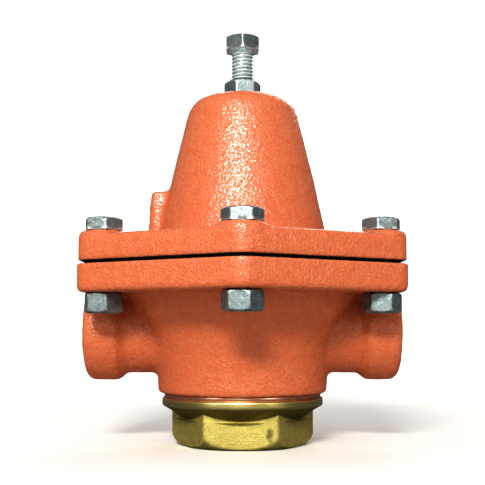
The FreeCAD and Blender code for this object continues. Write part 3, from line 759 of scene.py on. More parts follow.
def brass_cast_material(finish, name="cast_brass", share=1.0, spot=None):
    """Matt, grainy yellow brass, tarnished in its hollows and rubbed bright on its edges."""
    material, shader, w, where = new_material(name, 0.5, 0.8)
    cast = effect(w, "Cast Grain", where, Grain_Size=2300.0, Wave_Size=240.0)
    cloud = effect(w, "Mottle", where, Patch_Size=90.0)
    edge_and_hollow = effect(w, "Edge Wear And Painted Light", where, Low=0.508, High=0.545)
    bright = shaded(finish.brass, share)
    dull = shaded(bright, 0.72)
    pit = shaded(bright, 0.4)
    colour = mix_colour(w, cloud["Cloud"], dull, bright)
    colour = tinted(w, colour, cast["Pits"], 0.5, pit)
    rubbed = shaded(bright, 1.35, 0.05 * share)
    colour = tinted(w, colour, edge_and_hollow["Edge"], 0.8, rubbed)
    colour = tinted(w, colour, edge_and_hollow["Hollow"], 0.5, pit)
    if spot:
        away = w.node("ShaderNodeVectorMath", operation="SUBTRACT")
        w.join(where, away.inputs[0])
        away.inputs[1].default_value = spot
        squat = w.node("ShaderNodeVectorMath", operation="MULTIPLY")
        w.join(away.outputs[0], squat.inputs[0])
        squat.inputs[1].default_value = (1.0, 1.0, 0.55)
        reach = w.node("ShaderNodeVectorMath", operation="LENGTH")
        w.join(squat.outputs[0], reach.inputs[0])
        ragged = w.math("ADD", reach.outputs["Value"],
                        w.math("MULTIPLY", noise_node(w, where, 900.0), 2.2 * MM))
        stain = ramp(w, ragged, 1.9 * MM, 3.1 * MM, 0.75, 0.0)
        colour = mix_colour(w, stain, colour, (0.07, 0.07, 0.05))
    w.join(colour, shader["Base Color"])
    w.join(ramp(w, cast["Pits"], 0.0, 1.0, 0.4, 0.6), shader["Roughness"])
    bump(w, shader, cast["Height"], 0.12 * MM)
    return material


def brass_turned_material(name, bright, dull, rings=2600.0):
    """Brass fresh off the lathe."""
    material, shader, w, where = new_material(name, 0.3, 1.0)
    turned = effect(w, "Turning Marks", where, Rings=rings)
    cloud = effect(w, "Mottle", where, Patch_Size=300.0)
    colour = mix_colour(w, turned["Streak"], dull, bright)
    w.join(tinted(w, colour, cloud["Specks"], 0.4, shaded(dull, 0.3)), shader["Base Color"])
    w.join(ramp(w, turned["Streak"], 0.0, 1.0, 0.36, 0.24), shader["Roughness"])
    bump(w, shader, turned["Height"], 0.06 * MM)
    return material


def copper_material(finish):
    """Dull pinkish copper sheet with cloudy patches and turning streaks."""
    material, shader, w, where = new_material("gasket_copper", 0.5, 0.6)
    cloud = effect(w, "Mottle", where, Patch_Size=420.0)
    turned = effect(w, "Turning Marks", where, Rings=1800.0)
    dull = shaded(finish.copper, 0.55)
    colour = mix_colour(w, cloud["Cloud"], dull, finish.copper)
    w.join(tinted(w, colour, turned["Streak"], 0.3, (0.62, 0.38, 0.3)),
           shader["Base Color"])
    w.join(ramp(w, cloud["Cloud"], 0.0, 1.0, 0.6, 0.42), shader["Roughness"])
    bump(w, shader, turned["Height"], 0.08 * MM)
    return material


def steel_material(name, light, dark, metallic=1.0, low=0.28, high=0.45, rings=2200.0):
    """Turned or drawn steel: the plates, the stem and the spring wire."""
    material, shader, w, where = new_material(name, low, metallic)
    turned = effect(w, "Turning Marks", where, Rings=rings)
    cloud = effect(w, "Mottle", where, Patch_Size=240.0)
    colour = mix_colour(w, cloud["Cloud"], dark, light)
    w.join(colour, shader["Base Color"])
    w.join(ramp(w, turned["Streak"], 0.0, 1.0, low, high), shader["Roughness"])
    bump(w, shader, turned["Height"], 0.05 * MM)
    return material


def rubber_material(name, colour, scale):
    """Black rubber with a dusty bloom and a fine grain."""
    material, shader, w, where = new_material(name, 0.7, Specular_IOR_Level=0.2)
    cloud = effect(w, "Mottle", where, Patch_Size=300.0)
    pale = shaded(colour, 2.2, 0.002)
    w.join(mix_colour(w, cloud["Cloud"], colour, pale), shader["Base Color"])
    w.join(ramp(w, cloud["Cloud"], 0.0, 1.0, 0.62, 0.82), shader["Roughness"])
    bump(w, shader, noise_node(w, where, scale, 2.0), 0.06 * MM)
    return material


def finish_of(name):
    return bpy.data.materials[name]


def dress(node, material_name):
    """Give a CAD node a better material."""
    piece = frame["nodes"][node]
    if not piece.data.materials:
        piece.data.materials.append(None)
    for slot in piece.material_slots:
        slot.material = finish_of(material_name)


NODE_FINISHES = {
    "guide_bushing": "turned_brass", "seat_ring": "turned_brass", "disc_holder": "turned_brass",
    "pressure_plate": "turned_steel", "under_plate": "turned_steel",
    "spring_button": "turned_steel", "stem": "stainless", "stem_nut": "stainless",
    "stem_washer": "stainless", "disc_washer": "stainless", "seat_disc": "disc_rubber",
}

# ------------------------------------------------------------- places shared with the CAD
BODY_LOW, BODY_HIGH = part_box("valve_body")
BONNET_LOW, BONNET_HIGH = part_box("bonnet")
BOLT_LOW, BOLT_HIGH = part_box("flange_bolt_1")
NUT_LOW, NUT_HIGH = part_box("flange_nut_1")
LOCK_LOW, LOCK_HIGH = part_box("lock_nut")
SCREW_LOW, SCREW_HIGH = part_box("adjusting_screw")
MOUNTS = {mount["name"]: mount for mount in frame["record"]["mounts"]}
PORT_AXIS = MOUNTS["outlet"]["pos_m"][2]
HALF_FACE = BODY_HIGH.x
PORT_BORE = MOUNTS["outlet"]["dims"]["r_mm"] * MM
PORT_CHAMFER = 1.2 * MM
PORT_THREAD = MOUNTS["outlet"]["dims"]["length_mm"] * MM
VENT_HEIGHT = MOUNTS["vent"]["pos_m"][2]
VENT_BORE = MOUNTS["vent"]["dims"]["r_mm"] * MM
BODY_BASE = BODY_LOW.z
FLANGE_BASE = NUT_HIGH.z
FLANGE_TOP = BODY_HIGH.z
BONNET_BASE = BONNET_LOW.z
BONNET_TOP = BONNET_HIGH.z
COLLAR_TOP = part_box("plug_gasket")[0].z
PLUG_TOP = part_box("bottom_plug")[1].z
COLLAR_RADIUS = 34.6 * MM
CHAMBER_RADIUS = 43.0 * MM
BODY_BORE = 34.0 * MM
CHAMBER_FLOOR = FLANGE_TOP - 9.5 * MM
CONE_FOOT = BONNET_BASE + 10.4 * MM
CONE_BASE_RADIUS = 37.0 * MM
CONE_TAPER = (37.0 - 21.9) / 63.4
CONE_WALL = 4.5 * MM
CAVITY_TOP = BONNET_TOP - 9.0 * MM
BOLT_CIRCLE = 64.39 * MM
BOLT_RADIUS = 4.7625 * MM
BOLT_HEAD = 5.3 * MM
BOLT_SEAT = BOLT_HIGH.z - BOLT_HEAD
SCREW_HEAD = SCREW_HIGH.z - 6.5 * MM
SCREW_TURNS_DOWN = 7.5
VALVE_LIFT = 3.5 * MM
PLUG_TURN = math.radians(-1.5)
LOCK_NUT_TURN = math.radians(10)
SCREW_TURN = math.radians(31)
CORNERS = tuple(math.radians(angle) for angle in (-90, -30, 30, 90, 150, 210))
BOLT_TURNS = (-3, 13, 40, 23, 8, -17)
NUT_TURNS = (-10.5, -8, 31, 12, 50, -14)

THREAD_ROOT = BOLT_RADIUS - 1.0 * MM
# Machined faces are taken this much wider than the CAD's, and joint faces this deep.
MARGIN = 0.8 * MM
JOINT_DEPTH = 0.3 * MM
# How much a crisp edge gives way to the softening, and the most triangles of a casting.
CRISP_HOLD = 0.12
MOST_TRIANGLES = 190000

# Columns of a hexagonal piece, in degrees, stand closer together at its corners.
PLUG_HALF = (0.0, 0.6, 1.2, 1.9, 2.6, 3.4, 4.4, 6.0, 8.0, 10.5, 13.0, 16.0, 19.0, 22.0,
             25.0, 28.0)
PLUG_STEPS = PLUG_HALF + tuple(60.0 - step for step in reversed(PLUG_HALF[1:]))
HEX_STEPS = (0.0, 0.9, 1.9, 3.2, 6.0, 12.0, 21.0, 30.0, 39.0, 48.0, 54.0, 56.8, 58.1, 59.1)


# ------------------------------------------------------------------------- castings
def merged_copy(node):
    """The node's mesh with its loose triangles joined."""
    work = bmesh.new()
    work.from_mesh(frame["nodes"][node].data)
    bmesh.ops.remove_doubles(work, verts=work.verts, dist=WELD)
    mesh = bpy.data.meshes.new(node + "_merged")
    work.to_mesh(mesh)
    work.free()
    return mesh


def through_modifiers(mesh, *steps):
    """Put a mesh through modifiers, each (kind, {setting: value}), and return the result."""
    carrier = linked("carrier", mesh)
    for kind, settings in steps:
        modifier = carrier.modifiers.new(kind, kind)
        for name, value in settings.items():
            setattr(modifier, name, value)
    result = evaluated_mesh(carrier)
    bpy.data.objects.remove(carrier)
    return result


def points_of(mesh):
    flat = np.zeros(len(mesh.vertices) * 3, np.float32)
    mesh.vertices.foreach_get("co", flat)
    return flat.reshape(-1, 3).astype(float)


def normals_of(mesh):
    flat = np.zeros(len(mesh.vertices) * 3, np.float32)
    mesh.vertex_normals.foreach_get("vector", flat)
    return flat.reshape(-1, 3).astype(float)


def near_bolt(points, reach):
    found = np.zeros(len(points), bool)
    for angle in CORNERS:
        across = points[:, 0] - BOLT_CIRCLE * math.cos(angle)
        along = points[:, 1] - BOLT_CIRCLE * math.sin(angle)
        found |= np.hypot(across, along) < reach
    return found


def bare_in_body(points):
    """Which points of the body casting lie on machined or hidden faces."""
    x, y, z = points.T
    axis = np.hypot(x, y)
    port = np.hypot(y, z - PORT_AXIS)
    bare = (axis < BODY_BORE) & (z < FLANGE_TOP)
    bare |= (axis < CHAMBER_RADIUS + MARGIN) & (z > CHAMBER_FLOOR - 1.0 * MM)
    bare |= z > FLANGE_TOP - JOINT_DEPTH
    bare |= port < PORT_BORE + 0.9 * MM
    return bare | near_bolt(points, BOLT_RADIUS + MARGIN)


def bare_in_bonnet(points):
    """Which points of the bonnet casting lie on machined or hidden faces."""
    x, y, z = points.T
    axis = np.hypot(x, y)
    outside = CONE_BASE_RADIUS - CONE_TAPER * (z - CONE_FOOT)
    bare = (axis < outside - 0.5 * CONE_WALL) & (z < CAVITY_TOP + 1.0 * MM)
    bare |= (axis < CHAMBER_RADIUS + MARGIN) & (z < CONE_FOOT - 3.0 * MM)
    bare |= z < BONNET_BASE + JOINT_DEPTH
    bare |= axis < BOLT_RADIUS + MARGIN
    bare |= (np.hypot(y, z - VENT_HEIGHT) < VENT_BORE + 0.5 * MM) & (x < 0)
    return bare | near_bolt(points, BOLT_RADIUS + MARGIN)


def relaxed(mesh, points, passes, hold):
    """Draw each point towards the middle of its neighbours; hold is 0 where it may not move."""
    ends = np.zeros(len(mesh.edges) * 2, np.int64)
    mesh.edges.foreach_get("vertices", ends)
    first, second = ends.reshape(-1, 2).T
    count = np.bincount(ends, minlength=len(points))[:, None]
    for _ in range(passes):
        total = np.zeros_like(points)
        for axis in range(3):
            total[:, axis] = (np.bincount(first, points[second, axis], len(points))
                              + np.bincount(second, points[first, axis], len(points)))
        points = points + (total / count - points) * (0.5 * hold)[:, None]
    return points


def make_casting(name, node, settings, is_bare, is_crisp):
    """A sand casting grown from the node's solid: soft edges, filled roots and an uneven skin."""
    mesh = through_modifiers(
        merged_copy(node),
        ("REMESH", {"mode": "VOXEL", "voxel_size": settings.grid}))
    points = points_of(mesh)
    bare = is_bare(points)
    hold = np.where(is_crisp(points), CRISP_HOLD, 1.0)
    points = relaxed(mesh, points, settings.soften, hold)
    mesh.vertices.foreach_set("co", points.astype(np.float32).ravel())
    mesh.update()
    normals = normals_of(mesh)
    shift = np.zeros(len(points))
    place = Vector((settings.seed * 3.7, settings.seed * 1.3, settings.seed * 2.1))
    for index in np.flatnonzero(~bare):
        here = Vector(points[index]) / MM
        flat = Vector((here.x * 0.7, here.y * 0.7, here.z * 1.5))
        broad = noise.noise(flat / 13.0 + place)
        middle = noise.noise(flat / 5.5 + place * 2)
        lump = noise.noise(here / 2.1 + place * 3)
        shift[index] = (settings.ripple * (broad + 0.6 * middle)
                        + settings.pimple * (lump + max(lump, 0.0) * 1.5))
    points += normals * shift[:, None]
    mesh.vertices.foreach_set("co", points.astype(np.float32).ravel())
    mesh.update()
    triangles = sum(len(face.vertices) - 2 for face in mesh.polygons)
    mesh = through_modifiers(mesh, ("DECIMATE", {"ratio": min(1.0, MOST_TRIANGLES / triangles)}))
    shade(mesh)
    piece = show(name, mesh, finish_of("orange_enamel"), finish_of("bare_iron"))
    bare = is_bare(points_of(mesh))
    numbers = [int(all(bare[corner] for corner in face.vertices)) for face in mesh.polygons]
    mesh.polygons.foreach_set("material_index", numbers)
    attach(piece, HOUSING)
    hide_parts(node)


# ---------------------------------------------------------------------- turned pieces
def hexagon_angles(steps=HEX_STEPS):
    return [math.radians(60 * side + step) for side in range(6) for step in steps]


def hexagon_part(name, flats, height, edge, chamfer, bore=0.0, foot=None, collar=0.0):
    """A hexagonal head or nut from z = 0, its corners turned off at 30 degrees.

    A nut's lower corners may have a chamfer of their own, the foot.

    A collar is the cone under a head, from which the shank grows.
    """
    beyond, bearing, lead = 0.1 * MM, 0.35 * MM, 0.95 * MM
    foot_steps, chamfer_steps = 6, 8
    corner = flats / 2 / math.cos(HALF_CORNER)
    reach = corner + beyond
    face = flats / 2 - chamfer
    drop = (reach - face) * math.tan(HALF_CORNER)
    if foot is not None:
        inner = flats / 2 - foot
        rise = (reach - inner) * math.tan(HALF_CORNER)
        outer = [(inner + (reach - inner) * step / foot_steps, rise * step / foot_steps)
                 for step in range(foot_steps + 1)]
    else:
        outer = [(flats / 2 - beyond, 0.0), (reach, bearing)]
    outer += [(reach, height - drop)]
    outer += [(reach + (face - reach) * step / chamfer_steps,
               height - drop + drop * step / chamfer_steps)
              for step in range(1, chamfer_steps + 1)]
    if bore:
        path = outer + [(bore + lead, height), (bore, height - lead), (bore, lead),
                        (bore + lead, 0.0)]
    elif collar:
        neck = flats / 2 - 2.5 * MM
        path = [(0.0, -collar), (neck, -collar), (flats / 2 - 0.5 * MM, 0.0)] + outer[1:]
        path.append((0.0, height))
    else:
        path = [(0.0, 0.0)] + outer + [(0.0, height)]
    return lathe(name, stretch_path(path, 1.6 * MM), hexagon_angles(),
                 hexagonal(flats / 2, edge), closed=bool(bore))


def plug_path(settings):
    """The bottom plug from the middle of its foot round to the middle of its floor."""
    corner = settings.flats / 2 / math.cos(HALF_CORNER) + 0.1 * MM
    foot = settings.flats / 2 - 1.5 * MM
    path = [(0.0, 0.0), (foot * 0.5, 0.0)]
    path += bulge((foot, 0.0), (corner, settings.foot_height + 0.5 * MM), 0.95 * MM, 18)
    path += [(corner, settings.flare_start * 0.7), (corner, settings.flare_start)]
    flare_top = settings.flare_start + settings.flare_height
    collar = COLLAR_RADIUS
    start = settings.flats / 2 - 0.6 * MM
    foot_of_collar = collar - 1.2 * MM
    path += bulge((start, settings.flare_start), (foot_of_collar, flare_top - 0.45 * MM),
                  -0.25 * MM, 44)[1:]
    top = flare_top + settings.collar_height
    sleeve = settings.thread_radius
    bore = sleeve - 6.0 * MM
    floor, well, well_top = 6.0 * MM, 8.0 * MM, 20.0 * MM
    guide, guide_foot, drilled, drilled_foot = 6.05 * MM, 8.0 * MM, 4.6 * MM, 4.5 * MM
    turned = rounded([
        (foot_of_collar, flare_top - 0.45 * MM), (collar, flare_top + 0.15 * MM, 0.9 * MM),
        (collar, top - 0.4 * MM, 0.3 * MM), (collar - 0.5 * MM, top, 0.2 * MM),
        (sleeve, top), (sleeve, PLUG_TOP - 1.0 * MM), (sleeve - 1.0 * MM, PLUG_TOP),
        (bore, PLUG_TOP), (bore, floor), (well, floor), (well, well_top), (guide, well_top),
        (guide, guide_foot), (drilled, guide_foot), (drilled, drilled_foot),
        (0.0, drilled_foot)])
    return stretch_path(path + turned[1:], 2.4 * MM)


def threaded_tube(name, radius, length, pitch, depth, finish, columns=60, taper=0.0):
    """A thread about the vertical axis, its middle at the origin."""
    rows = max(8, int(length / pitch * 10))
    seed_mesh = make_mesh(name + "_start", [(0, 0, 0)], [])
    return run_tree(name, thread_tree(), seed_mesh, Radius=radius, Length=length, Pitch=pitch,
                    Depth=depth, Taper=taper, Runout=pitch, Columns=columns, Rows=rows,
                    Finish=finish_of(finish))


def close_tube(mesh, outer=None):
    """Cap a tube's two open ends, or for a bored tube give it a round outside wall."""
    work = bmesh.new()
    work.from_mesh(mesh)
    rims = [edge for edge in work.edges if edge.is_boundary]
    if outer is None:
        bmesh.ops.holes_fill(work, edges=rims, sides=0)
    else:
        grown = bmesh.ops.extrude_edge_only(work, edges=rims)["geom"]
        for vertex in (item for item in grown if isinstance(item, bmesh.types.BMVert)):
            size = outer / math.hypot(vertex.co.x, vertex.co.y)
            vertex.co.x *= size
            vertex.co.y *= size
        new_rims = [edge for edge in work.edges if edge.is_boundary]
        bmesh.ops.bridge_loops(work, edges=new_rims)
    bmesh.ops.recalc_face_normals(work, faces=work.faces)
    work.to_mesh(mesh)
    work.free()
    return mesh


def placed(mesh, turn=Matrix.Identity(4), shift=(0, 0, 0)):
    mesh.transform(Matrix.Translation(shift) @ turn)
    return mesh


# ------------------------------------------------------------------------- operators
class VALVE_OT_finishes(bpy.types.Operator):
    """Make the enamel, metals and rubbers and put them on the carried-over CAD pieces"""
    bl_idname = "valve.finishes"
    bl_label = "Finishes"

    def execute(self, context):
        finish = context.scene.valve_finish
        paint_material(finish)
        machined_iron_material()
        zinc_material(finish)
        # Painted light: a copy of the zinc lightened as if lit, for the screw's shank, and a darker
        # copy as painted shade, for its head.
        zinc_material(finish, "zinc_lightened_as_lit", 2.2, 0.4)
        zinc_material(finish, "zinc_darkened_as_shade", 0.58, 0.7)
        brass_cast_material(finish, spot=(11.0 * MM, -26.65 * MM, 6.6 * MM))
        # A darker copy of the brass for the downward-facing flare under the collar: painted shade.
        brass_cast_material(finish, "brass_darkened_as_shade", 0.4)
        brass_turned_material("collar_brass", (0.93, 0.85, 0.45), (0.6, 0.5, 0.18))
        brass_turned_material("turned_brass", (0.85, 0.66, 0.32), (0.55, 0.4, 0.16))
        copper_material(finish)
        steel_material("turned_steel", (0.5, 0.5, 0.5), (0.3, 0.3, 0.31))
        steel_material("stainless", (0.68, 0.68, 0.67), (0.5, 0.5, 0.5), low=0.2, high=0.34)
        steel_material("spring_wire", (0.3, 0.31, 0.33), (0.14, 0.145, 0.15), low=0.3, high=0.5)
        rubber_material("disc_rubber", (0.03, 0.03, 0.03), 2500.0)
        # The diaphragm's rubber is black, and made far darker than the disc's as painted shade in
        # the joint between the flanges.
        rubber_material("sheet_rubber_with_painted_shade", (0.004, 0.003, 0.003), 1700.0)
        for node, name in NODE_FINISHES.items():
            dress(node, name)
        return {"FINISHED"}


class VALVE_OT_castings(bpy.types.Operator):
    """Cast the body and the bonnet"""
    bl_idname = "valve.castings"
    bl_label = "Castings"

    def execute(self, context):
        settings = context.scene.valve_casting
        machined = 1.3 * MM

        def body_joint(points):
            lip = points[:, 2] < BODY_BASE + machined
            return lip | (points[:, 2] > FLANGE_TOP - machined) | bare_in_body(points)

        def bonnet_joint(points):
            return (points[:, 2] < BONNET_BASE + machined) | bare_in_bonnet(points)

        make_casting("body_casting", "valve_body", settings, bare_in_body, body_joint)
        make_casting("bonnet_casting", "bonnet", settings, bare_in_bonnet, bonnet_joint)
        return {"FINISHED"}


class VALVE_OT_port_threads(bpy.types.Operator):
    """Cut the pipe threads of the two ports and of the vent"""
    bl_idname = "valve.port_threads"
    bl_label = "Port Threads"

    def execute(self, context):
        settings = context.scene.valve_thread
        finish = HALF_FACE - PORT_CHAMFER
        start = finish - PORT_THREAD + 0.2 * MM
        length = finish - start
        parts = []
        for side in (-1, 1):
            tube = threaded_tube("port_thread", PORT_BORE - 0.12 * MM, length,
                                 settings.port_pitch, -settings.port_depth, "bare_iron", 84,
                                 1 / 32 * 0.25)
            close_tube(tube, PORT_BORE + 0.5 * MM)
            turn = Matrix.Rotation(math.radians(90 * side), 4, "Y")
            placed(tube, turn, (side * (start + finish) / 2, 0, PORT_AXIS))
            parts.append(tube)
        mesh = join_meshes("port_threads", parts)
        shade(mesh, THREAD_SHARP)
        piece = show("port_threads", mesh, finish_of("bare_iron"))
        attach(piece, HOUSING)
        mouth, depth = 40.3 * MM, 8.6 * MM
        tube = threaded_tube("vent_thread", VENT_BORE - 0.1 * MM, depth, 0.94 * MM, -0.55 * MM,
                             "bare_iron", 48)
        close_tube(tube, VENT_BORE + 0.45 * MM)
        placed(tube, Matrix.Rotation(math.radians(-90), 4, "Y"),
               (-(mouth - depth / 2), 0, VENT_HEIGHT))
        shade(tube, THREAD_SHARP)
        piece = show("vent_thread", tube, finish_of("bare_iron"))
        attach(piece, HOUSING)
        return {"FINISHED"}


class VALVE_OT_bottom_plug(bpy.types.Operator):
    """Turn the brass bottom plug and the copper gasket on its collar"""
    bl_idname = "valve.bottom_plug"
    bl_label = "Bottom Plug"

    def execute(self, context):
        settings = context.scene.valve_plug
        apothem, edge = settings.flats / 2, 1.3 * MM
        flare = settings.flare_start
        flare_top = flare + settings.flare_height

        def shape(radius, height, angle):
            if height > flare_top - 1e-6 or radius < 20.5 * MM:
                return radius
            across = hexagon_radius(angle, apothem, edge)
            if height > flare + 1e-7:
                return -soft_min(-radius, -across, 0.35 * MM)
            if radius < apothem - 2.0 * MM:
                return radius
            return soft_min(radius, across, 0.6 * MM)

        mesh = lathe("bottom_plug_turned", plug_path(settings), hexagon_angles(PLUG_STEPS),
                     shape, turn=PLUG_TURN)
        piece = show("brass_plug", mesh, finish_of("cast_brass"), finish_of("collar_brass"),
                     finish_of("brass_darkened_as_shade"))
        shade(mesh, 32)
        for face in mesh.polygons:
            middle = face.center
            out = math.hypot(middle.x, middle.y)
            on_flat = out < hexagon_radius(math.atan2(middle.y, middle.x) - PLUG_TURN, apothem,
                                           edge) + 0.12 * MM
            if middle.z > flare_top or out < 20.2 * MM and middle.z > 0.5 * MM:
                face.material_index = 1
            # The flare's faces off the flats face down under the collar and take the darker brass
            # copy: painted shade.
            elif middle.z > flare and not on_flat:
                face.material_index = 2
        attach(piece, HOUSING)
        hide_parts("bottom_plug")
        inner, outer = 26.3 * MM, 33.6 * MM
        low, high = COLLAR_TOP, BODY_BASE
        swell, columns = 0.12 * MM, 160
        path = rounded([
            (inner, low), (outer - 0.3 * MM, low), (outer, low + 0.35 * MM, 0.3 * MM),
            (outer + swell, (low + high) / 2, 0.3 * MM), (outer, high - 0.35 * MM, 0.3 * MM),
            (outer - 0.3 * MM, high), (inner, high)])
        ring = lathe("gasket", path, [TAU * step / columns for step in range(columns)], closed=True)
        shade(ring, 40)
        gasket = show("copper_gasket", ring, finish_of("gasket_copper"))
        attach(gasket, HOUSING)
        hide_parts("plug_gasket")
        return {"FINISHED"}


class VALVE_OT_flange_fasteners(bpy.types.Operator):
    """Stand six bolts and six nuts at the flange's corners"""
    bl_idname = "valve.flange_fasteners"
    bl_label = "Flange Fasteners"

    def stand(self, name, template, foot, turns, replaced):
        carrier = linked(name + "_template", template)
        places = [(BOLT_CIRCLE * math.cos(angle), BOLT_CIRCLE * math.sin(angle), foot)
                  for angle in CORNERS]
        points = make_mesh(name + "_places", places, [])
        turn = points.attributes.new("turn", "FLOAT", "POINT")
        turn.data.foreach_set("value", [math.radians(value) for value in turns])
        tree = bpy.data.node_groups.get("Corner Fasteners") or corner_tree()
        mesh = run_tree(name, tree, points, Fastener=carrier, Finish=finish_of("plated_zinc"))
        bpy.data.objects.remove(carrier)
        shade(mesh, FASTENER_SHARP)
        piece = show(name, mesh, finish_of("plated_zinc"))
        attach(piece, HOUSING)
        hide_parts(*(replaced + str(number) for number in range(1, 7)))

    def execute(self, context):
        settings = context.scene.valve_fastener
        head = hexagon_part("bolt_head", settings.flats, BOLT_HEAD, settings.edge,
                            settings.chamfer)
        length = BOLT_SEAT - BOLT_LOW.z
        shank = threaded_tube("bolt_shank", THREAD_ROOT, length, COARSE_PITCH,
                              1.15 * MM, "plated_zinc", 40)
        close_tube(shank)
        placed(shank, shift=(0, 0, -length / 2))
        bolt = join_meshes("flange_bolt", [head, shank])
        self.stand("flange_bolts", bolt, BOLT_SEAT, BOLT_TURNS, "flange_bolt_")
        nut = hexagon_part("flange_nut", settings.flats, NUT_HIGH.z - NUT_LOW.z, settings.edge,
                           settings.chamfer, bore=BOLT_RADIUS - 0.15 * MM,
                           foot=settings.chamfer)
        self.stand("flange_nuts", nut, NUT_LOW.z, NUT_TURNS, "flange_nut_")
        return {"FINISHED"}


class VALVE_OT_adjusting_screw(bpy.types.Operator):
    """Make the threaded adjusting screw with its hexagon head, and its lock nut"""
    bl_idname = "valve.adjusting_screw"
    bl_label = "Adjusting Screw"

    def execute(self, context):
        settings = context.scene.valve_fastener
        threads = context.scene.valve_thread
        length = SCREW_HEAD - SCREW_LOW.z + 0.2 * MM
        shank = threaded_tube("screw_thread", THREAD_ROOT, length,
                              threads.screw_pitch, 1.17 * MM, "zinc_lightened_as_lit", 56)
        close_tube(shank)
        placed(shank, shift=(0, 0, SCREW_LOW.z + length / 2))
        head = hexagon_part("screw_head", settings.flats, SCREW_HIGH.z - SCREW_HEAD,
                            settings.edge, 0.4 * MM, collar=0.9 * MM)
        placed(head, Matrix.Rotation(SCREW_TURN, 4, "Z"), (0, 0, SCREW_HEAD))
        mesh = join_meshes("adjusting", [shank, head])
        shade(mesh, FASTENER_SHARP)
        screw = show("threaded_screw", mesh, finish_of("zinc_lightened_as_lit"),
                     finish_of("zinc_darkened_as_shade"))
        # The head's faces take the darker zinc copy (painted shade), the shank the lighter copy
        # (painted light).
        for face in mesh.polygons:
            face.material_index = int(face.center.z > SCREW_HEAD + 0.1 * MM)
        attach(screw, "adjusting_screw")
        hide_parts("adjusting_screw")
        chamfer, fit, foot = 1.7 * MM, 0.02 * MM, -1.0 * MM
        nut = hexagon_part("jam_nut", settings.flats, LOCK_HIGH.z - LOCK_LOW.z, settings.edge,
                           chamfer, bore=BOLT_RADIUS + fit, foot=foot)
        placed(nut, Matrix.Rotation(LOCK_NUT_TURN, 4, "Z"), (0, 0, LOCK_LOW.z))
        shade(nut, FASTENER_SHARP)
        lock = show("jam_nut", nut, finish_of("plated_zinc"))
        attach(lock, "lock_nut")
        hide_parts("lock_nut")
        return {"FINISHED"}


class VALVE_OT_springs(bpy.types.Operator):
    """Wind the main spring and the return spring"""
    bl_idname = "valve.springs"
    bl_label = "Springs"

    def wind(self, name, node, radius, turns, wire, joint, travel):
        low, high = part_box(node)
        tree = bpy.data.node_groups.get("Coil Spring") or coil_tree()
        start = make_mesh(name + "_start", [(0, 0, 0)], [])
        mesh = run_tree(name, tree, start, Radius=radius, Height=high.z - low.z, Turns=turns,
                        Wire=wire, Foot=low.z, Finish=finish_of("spring_wire"))
        shade(mesh, 60)
        piece = show(name, mesh, finish_of("spring_wire"))
        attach(piece, HOUSING)
        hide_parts(node)
        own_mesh(piece)

    def execute(self, context):
        driven = SCREW_TURNS_DOWN * context.scene.valve_thread.screw_pitch
        self.wind("range_spring", "main_spring", 14.5 * MM, 6.5, 4.5 * MM, "screw_travel", driven)
        self.wind("closing_spring", "return_spring", 10.5 * MM, 7.0, 1.6 * MM,
                  "diaphragm_travel", VALVE_LIFT)
        return {"FINISHED"}


class VALVE_OT_diaphragm(bpy.types.Operator):
    """Cut the diaphragm into gores, each cut across in rings between the clamped middle and the
    flange
    """
    bl_idname = "valve.diaphragm"
    bl_label = "Diaphragm"

    def gore(self, sheet, middle, half, bends):
        """One closed wedge of the sheet, cut across at each distance from the axis in bends."""
        work = bmesh.new()
        work.from_mesh(sheet)
        for side in (-1, 1):
            edge = middle + side * half
            away = (-side * math.sin(edge), side * math.cos(edge), 0)
            bmesh.ops.bisect_plane(work, geom=work.verts[:] + work.edges[:] + work.faces[:],
                                   plane_co=(0, 0, 0), plane_no=away, clear_outer=True)
            rims = [item for item in work.edges if item.is_boundary]
            bmesh.ops.holes_fill(work, edges=rims, sides=0)
        out = Vector((math.cos(middle), math.sin(middle), 0))
        for distance in bends:
            bmesh.ops.bisect_plane(work, geom=work.verts[:] + work.edges[:] + work.faces[:],
                                   plane_co=out * distance, plane_no=out)
        bmesh.ops.recalc_face_normals(work, faces=work.faces)
        mesh = bpy.data.meshes.new("gore")
        work.to_mesh(mesh)
        work.free()
        return mesh

    def execute(self, context):
        gores, steps = 12, 9
        half = math.pi / gores
        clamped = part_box("pressure_plate")[1].x + 0.2 * MM
        free = (CHAMBER_RADIUS - 0.3 * MM) * math.cos(half)
        bends = [clamped + (free - clamped) * step / steps for step in range(steps + 1)]
        sheet = merged_copy("diaphragm")
        for number in range(gores):
            middle = number * 2 * half
            mesh = self.gore(sheet, middle, half, bends)
            shade(mesh, 30)
            piece = show("diaphragm_gore_%d" % (number + 1), mesh, finish_of("sheet_rubber_with_painted_shade"))
            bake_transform(piece)
            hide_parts("diaphragm")
        return {"FINISHED"}


LAMP_COLOUR = (1.0, 0.96, 0.89)


